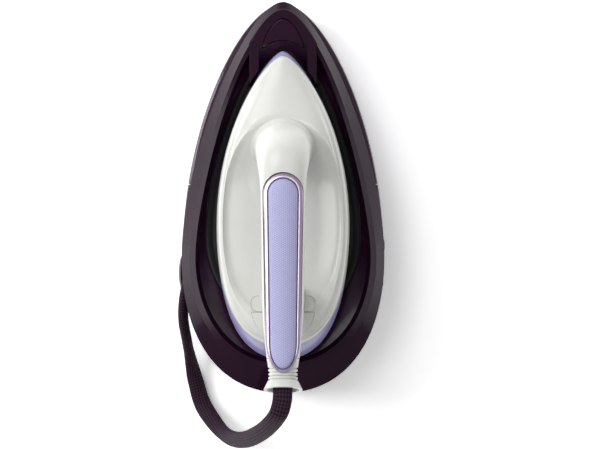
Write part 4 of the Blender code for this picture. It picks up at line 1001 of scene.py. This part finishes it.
def body_rings():
    """The white shell from its lower edge over the deck to a narrow spine under the handle."""
    side = [
        ring(grow(WHITE, 0.0001), lambda y: lower_edge(y)),
        ring(grow(WHITE, -0.0004), lambda y: 0.65 * lower_edge(y) + 0.35 * deck_edge(y)),
        ring(grow(WHITE, -0.0016), lambda y: 0.30 * lower_edge(y) + 0.70 * deck_edge(y)),
        ring(grow(WHITE, -0.0032), lambda y: deck_edge(y) - 0.0028),
        ring(grow(WHITE, -0.0050), lambda y: deck_edge(y) - 0.0006),
    ]
    deck = [
        ring(grow(WHITE, -0.0064), deck_edge),
        ring(mix(grow(WHITE, -0.0064), DISH, 0.50), lambda y: 0.5 * (deck_edge(y) + dish_edge(y)) + 0.0008),
        ring(grow(DISH, 0.0010), lambda y: dish_edge(y) + 0.0001),
    ]
    dish = [ring(grow(DISH, -inset), lambda y: dish_edge(y) - drop)
            for inset, drop in ((0.0006, 0.0004), (0.0030, 0.0019), (0.0070, 0.0032), (0.0180, 0.0046))]
    for outline in (grow(DISH, -0.0300)._replace(nose=0.0100, tail=-0.0700),
                    DISH._replace(half=0.0040, nose=0.0, tail=-0.0500)):
        dish.append(ring(outline, lambda y: dish_edge(y) - 0.0050))
    return between(side, 12) + between(deck, 12) + between(dish, 20)


def pill_plan(margin):
    """Rounded bar across the heel of the deck."""
    return rounded_plan((0.0, -0.0992), (0.0225, 0.0012), 0.0058 + margin, 8)


def heel_plan(margin):
    """Shield shape behind the bar."""
    half = 0.0278 + margin
    front = -0.1066 + margin
    rear = -0.1300 - margin
    side = ((half, front), (half - 0.0020, front - 0.0120), (0.0190, rear), (0.0, rear))
    right = [(0.0, front), (half * 0.5, front)] + [cubic(side, i / 20.0) for i in range(21)]
    return mirrored(right)


def make_body():
    body = piece("white_shell", skin(body_rings()), IRON)
    for plan in (pill_plan, heel_plan):
        carve(body, prism(plan(0.00016), 0.0400, 0.0800))
    finish_piece(body, "iron", "white_plastic", ["body_shell"], 0.0002, 50.0, 50.0, 2)
    for name, plan in (("heel_bar", pill_plan), ("heel_shield", heel_plan)):
        cover = piece(name, skin(body_rings()), IRON)
        carve(cover, prism(plan(-0.00012), 0.0395, 0.0800), "INTERSECT")
        finish_piece(cover, "iron", "white_plastic", ["heel_cover"], 0.0002, 50.0, 50.0, 2)


# Handle stations: y, height, half width, outer thickness, inner thickness, squareness of the outer side.
HANDLE_STATIONS = [
    (0.0440, 0.0420, 0.0345, 0.0300, 0.0300, 1.90),
    (0.0428, 0.0520, 0.0300, 0.0245, 0.0235, 1.90),
    (0.0412, 0.0610, 0.0266, 0.0210, 0.0203, 1.92),
    (0.0385, 0.0710, 0.0251, 0.0194, 0.0190, 1.95),
    (0.0330, 0.0820, 0.0243, 0.0182, 0.0180, 2.00),
    (0.0220, 0.0955, 0.0226, 0.0166, 0.0160, 2.10),
    (0.0070, 0.1050, 0.0203, 0.0152, 0.0143, 2.30),
    (-0.0150, 0.1092, 0.0190, 0.0142, 0.0137, 2.50),
    (-0.0600, 0.1112, 0.0184, 0.0139, 0.0135, 2.50),
    (-0.1050, 0.1122, 0.0176, 0.0137, 0.0133, 2.50),
    (-0.1250, 0.1122, 0.0164, 0.0133, 0.0130, 2.50),
    (-0.1460, 0.1121, 0.0140, 0.0124, 0.0122, 2.50),
]
COLUMN_STATIONS = [
    (-0.0950, 0.0400, 0.0240, 0.0215, 0.0215, 2.0),
    (-0.0962, 0.0500, 0.0196, 0.0170, 0.0170, 2.1),
    (-0.0978, 0.0620, 0.0164, 0.0140, 0.0140, 2.3),
    (-0.1050, 0.0770, 0.0153, 0.0131, 0.0131, 2.4),
    (-0.1170, 0.0940, 0.0148, 0.0126, 0.0126, 2.5),
    (-0.1270, 0.1060, 0.0145, 0.0120, 0.0120, 2.5),
]
TRIGGER_STATIONS = [
    (0.0110, 0.0965, 0.0070, 0.0028, 0.0026, 3.5),
    (0.0060, 0.0958, 0.0077, 0.0036, 0.0036, 3.5),
    (-0.0060, 0.0945, 0.0078, 0.0042, 0.0042, 3.5),
    (-0.0180, 0.0945, 0.0078, 0.0040, 0.0040, 3.5),
    (-0.0250, 0.0960, 0.0070, 0.0024, 0.0024, 3.5),
]


def sweep(stations, count, sides=56):
    """Rings of rounded sections along a path in the plane x = 0, each square to the path."""
    samples = through(stations, count)
    rings = []
    for index, (y, height, half_width, outer, inner, power) in enumerate(samples):
        ahead = samples[min(index + 1, count - 1)]
        behind = samples[max(index - 1, 0)]
        along = Vector((0.0, ahead[0] - behind[0], ahead[1] - behind[1])).normalized()
        across = Vector((1.0, 0.0, 0.0))
        up = across.cross(along)
        points = []
        for side in range(sides):
            angle = 2.0 * math.pi * side / sides
            cosine = math.cos(angle)
            sine = math.sin(angle)
            bend = 2.5 if sine > 0.0 and power < 2.5 else power
            bend = 2.2 if abs(sine) < 0.000001 else bend
            thickness = inner if sine > 0.0 else outer
            points.append(Vector((0.0, y, height))
                          + across * (half_width * math.copysign(abs(cosine) ** (2.0 / bend), cosine))
                          + up * (thickness * math.copysign(abs(sine) ** (2.0 / bend), sine)))
        rings.append(points)
    return rings


def crown(y):
    """Height of the handle's crown: nearly straight over the grip, falling at its front end."""
    bend = max(y - GRIP_BEND_Y, 0.0) / GRIP_BEND_LENGTH
    return 0.1232 + (-0.0150 - y) * 0.0024 / 0.0900 - 0.0030 * bend * bend


def recess_depth(y):
    """Depth of the grip's recess, shallower over the hose's end."""
    return HANDLE_RECESS + 0.0030 * smooth((y + 0.1480) / 0.0250)


def slot_plan(plan, inset=0.0, steps=28, runs=24):
    """Plan of the grip or its ring: a round front end and a longer rear end, joined by straight sides."""
    front, rear = plan[0] - inset, plan[1] + inset
    front_half, rear_half = plan[2] - inset, plan[3] - inset
    rear_long = rear_half * REAR_STRETCH
    ends = []
    for middle, half, long, turn in ((front - front_half, front_half, front_half, 0.0),
                                     (rear + rear_long, rear_half, rear_long, math.pi)):
        angles = [turn + math.pi * step / steps for step in range(steps + 1)]
        ends.append([(half * math.cos(angle), middle + long * math.sin(angle)) for angle in angles])
    points = []
    for first, second in (ends, ends[::-1]):
        points += first
        points += [tuple(Vector(first[-1]).lerp(Vector(second[0]), step / runs)) for step in range(1, runs)]
    return points


def on_crown(plan, depth):
    """A plan laid at a depth below the handle's crown and lower at its sides."""
    half = RING_PLAN[2]
    return [Vector((x, y, crown(y) - depth - GRIP_CAMBER * (x / half) ** 2)) for x, y in plan]


def on_floor(plan, gap=0.0):
    """A plan laid on the floor of the grip's recess, which is flat across."""
    return lay(plan, lambda y: crown(y) - recess_depth(y) + gap)


def recess_room():
    """What is cut out of the handle and the boot for the grip and its ring."""
    plan = slot_plan(RING_PLAN, -GAP)
    return skin([on_floor(plan), lay(plan, lambda y: crown(y) + 0.0300)])


def make_handle():
    handle = piece("handle_body", skin(sweep(HANDLE_STATIONS, 110)), IRON)
    carve(handle, skin(sweep(COLUMN_STATIONS, 36)), "UNION")
    carve(handle, recess_room())
    carve(handle, box((-0.0084, -0.0280, 0.0800), (0.0084, 0.0150, 0.1070)))
    finish_piece(handle, "iron", "white_plastic", ["handle_shell"], 0.0005, 50.0, 50.0)

    inner = slot_plan(GRIP_PLAN, -0.0006)
    rings = [on_floor(slot_plan(RING_PLAN), GAP)]
    for inset, depth in ((0.0, 0.0024), (0.0002, 0.0019), (0.0007, 0.0016), (0.0020, 0.0015)):
        rings.append(on_crown(slot_plan(RING_PLAN, inset), depth))
    rings += [on_crown(slot_plan(GRIP_PLAN, -0.0010), 0.0014), on_crown(inner, 0.0017), on_floor(inner, GAP)]
    band = piece("trim_band", skin(rings, closed=True), IRON)
    finish_piece(band, "iron", "mauve_ring", ["trim_ring"], sharp=60.0)

    outer = slot_plan(GRIP_PLAN, -0.0005)
    inner = slot_plan(GRIP_PLAN, 0.0004)
    rings = [on_floor(outer, GAP), on_crown(outer, 0.0030), on_crown(inner, 0.0030), on_floor(inner, GAP)]
    gap = piece("grip_gasket", skin(rings, closed=True), IRON)
    finish_piece(gap, "iron", "black_rubber", look="inner_gap")

    rings = [on_floor(slot_plan(GRIP_PLAN, 0.0005), GAP)]
    for inset, depth in ((0.0005, 0.0020), (0.0007, 0.0012), (0.0013, 0.0006), (0.0026, 0.0001),
                         (0.0050, -0.0003), (0.0080, -0.0005), (0.0105, -0.0006)):
        rings.append(on_crown(slot_plan(GRIP_PLAN, inset), depth))
    grip = piece("grip_inlay", skin(rings), IRON)
    finish_piece(grip, "iron", "grip_rubber", ["grip_pad"], sharp=60.0)

    blade = piece("trigger_blade", skin(sweep(TRIGGER_STATIONS, 30, 40)), IRON)
    finish_piece(blade, "steam_trigger", "lavender_plastic", ["steam_trigger"], 0.0003, 60.0)


BOOT_STATIONS = [
    (-0.1464, 0.1121, 0.0139, 0.0121),
    (-0.1530, 0.1120, 0.0128, 0.0116),
    (-0.1600, 0.1121, 0.0123, 0.0114),
    (-0.1645, 0.1125, 0.0127, 0.0116),
    (-0.1695, 0.1134, 0.0150, 0.0126),
    (-0.1728, 0.1142, 0.0165, 0.0134),
]
MOUTH_STATIONS = [
    (-0.1520, 0.1112, 0.0088, 0.0060),
    (-0.1600, 0.1114, 0.0094, 0.0068),
    (-0.1680, 0.1130, 0.0110, 0.0084),
    (-0.1720, 0.1140, 0.0132, 0.0104),
    (-0.1790, 0.1158, 0.0150, 0.0120),
]


def make_boot():
    """Ribbed bend protector of the hose."""
    stations = []
    for y, height, half_width, thickness in through(BOOT_STATIONS, 64):
        depth = 0.0
        for groove in (-0.1548, -0.1580, -0.1612, -0.1645):
            depth = max(depth, 0.0015 * math.exp(-((y - groove) / 0.00055) ** 2))
        stations.append((y, height, half_width - depth, thickness - depth, thickness - depth, 2.3))
    boot = piece("hose_bend_boot", skin(sweep(stations, len(stations), 72)), IRON)
    mouth = skin(sweep([(*station, station[3], 2.0) for station in MOUTH_STATIONS], 16, 48))
    carve(boot, mouth)
    carve(boot, recess_room())
    finish_piece(boot, "iron", "white_plastic", ["hose_boot"], 0.0003, 55.0, 55.0, 2)


def dress_frame():
    """The looks of the CAD nodes that stay shown."""
    slots = {
        "black_rubber": ["foot_front_left", "foot_front_right", "foot_rear_left", "foot_rear_right",
                         "drain_plug", "mains_inlet", "tank_valve"],
        "grey_silicone": ["rest_pad_front", "rest_pad_left", "rest_pad_right", "suction_pipe",
                          "pressure_pipe", "steam_riser", "steam_tube"],
        "steel": ["base_screw_1", "base_screw_2", "base_screw_3", "base_screw_4", "chamber_screw_1",
                  "chamber_screw_2", "lock_spring", "trigger_spring"],
        "cast_aluminium": ["boiler", "steam_chamber"],
        "brass": ["thermostat"],
        "board_green": ["circuit_board"],
        "dark_plastic": ["pump", "hose_socket", "lock_latch", "microswitch"],
        "light_lens": ["steam_light", "descale_light"],
    }
    for slot, names in slots.items():
        for name in names:
            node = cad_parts[name]
            node.data.materials.clear()
            node.data.materials.append(LOOKS[slot])


make_camera()
LOOKS = make_materials()
make_hose()
make_studio()
make_lower_base()
make_drain_knob()
make_panel()
make_groove()
make_collar()
make_lock()
make_soleplate()
make_lower_shell()
make_body()
make_handle()
make_boot()
dress_frame()
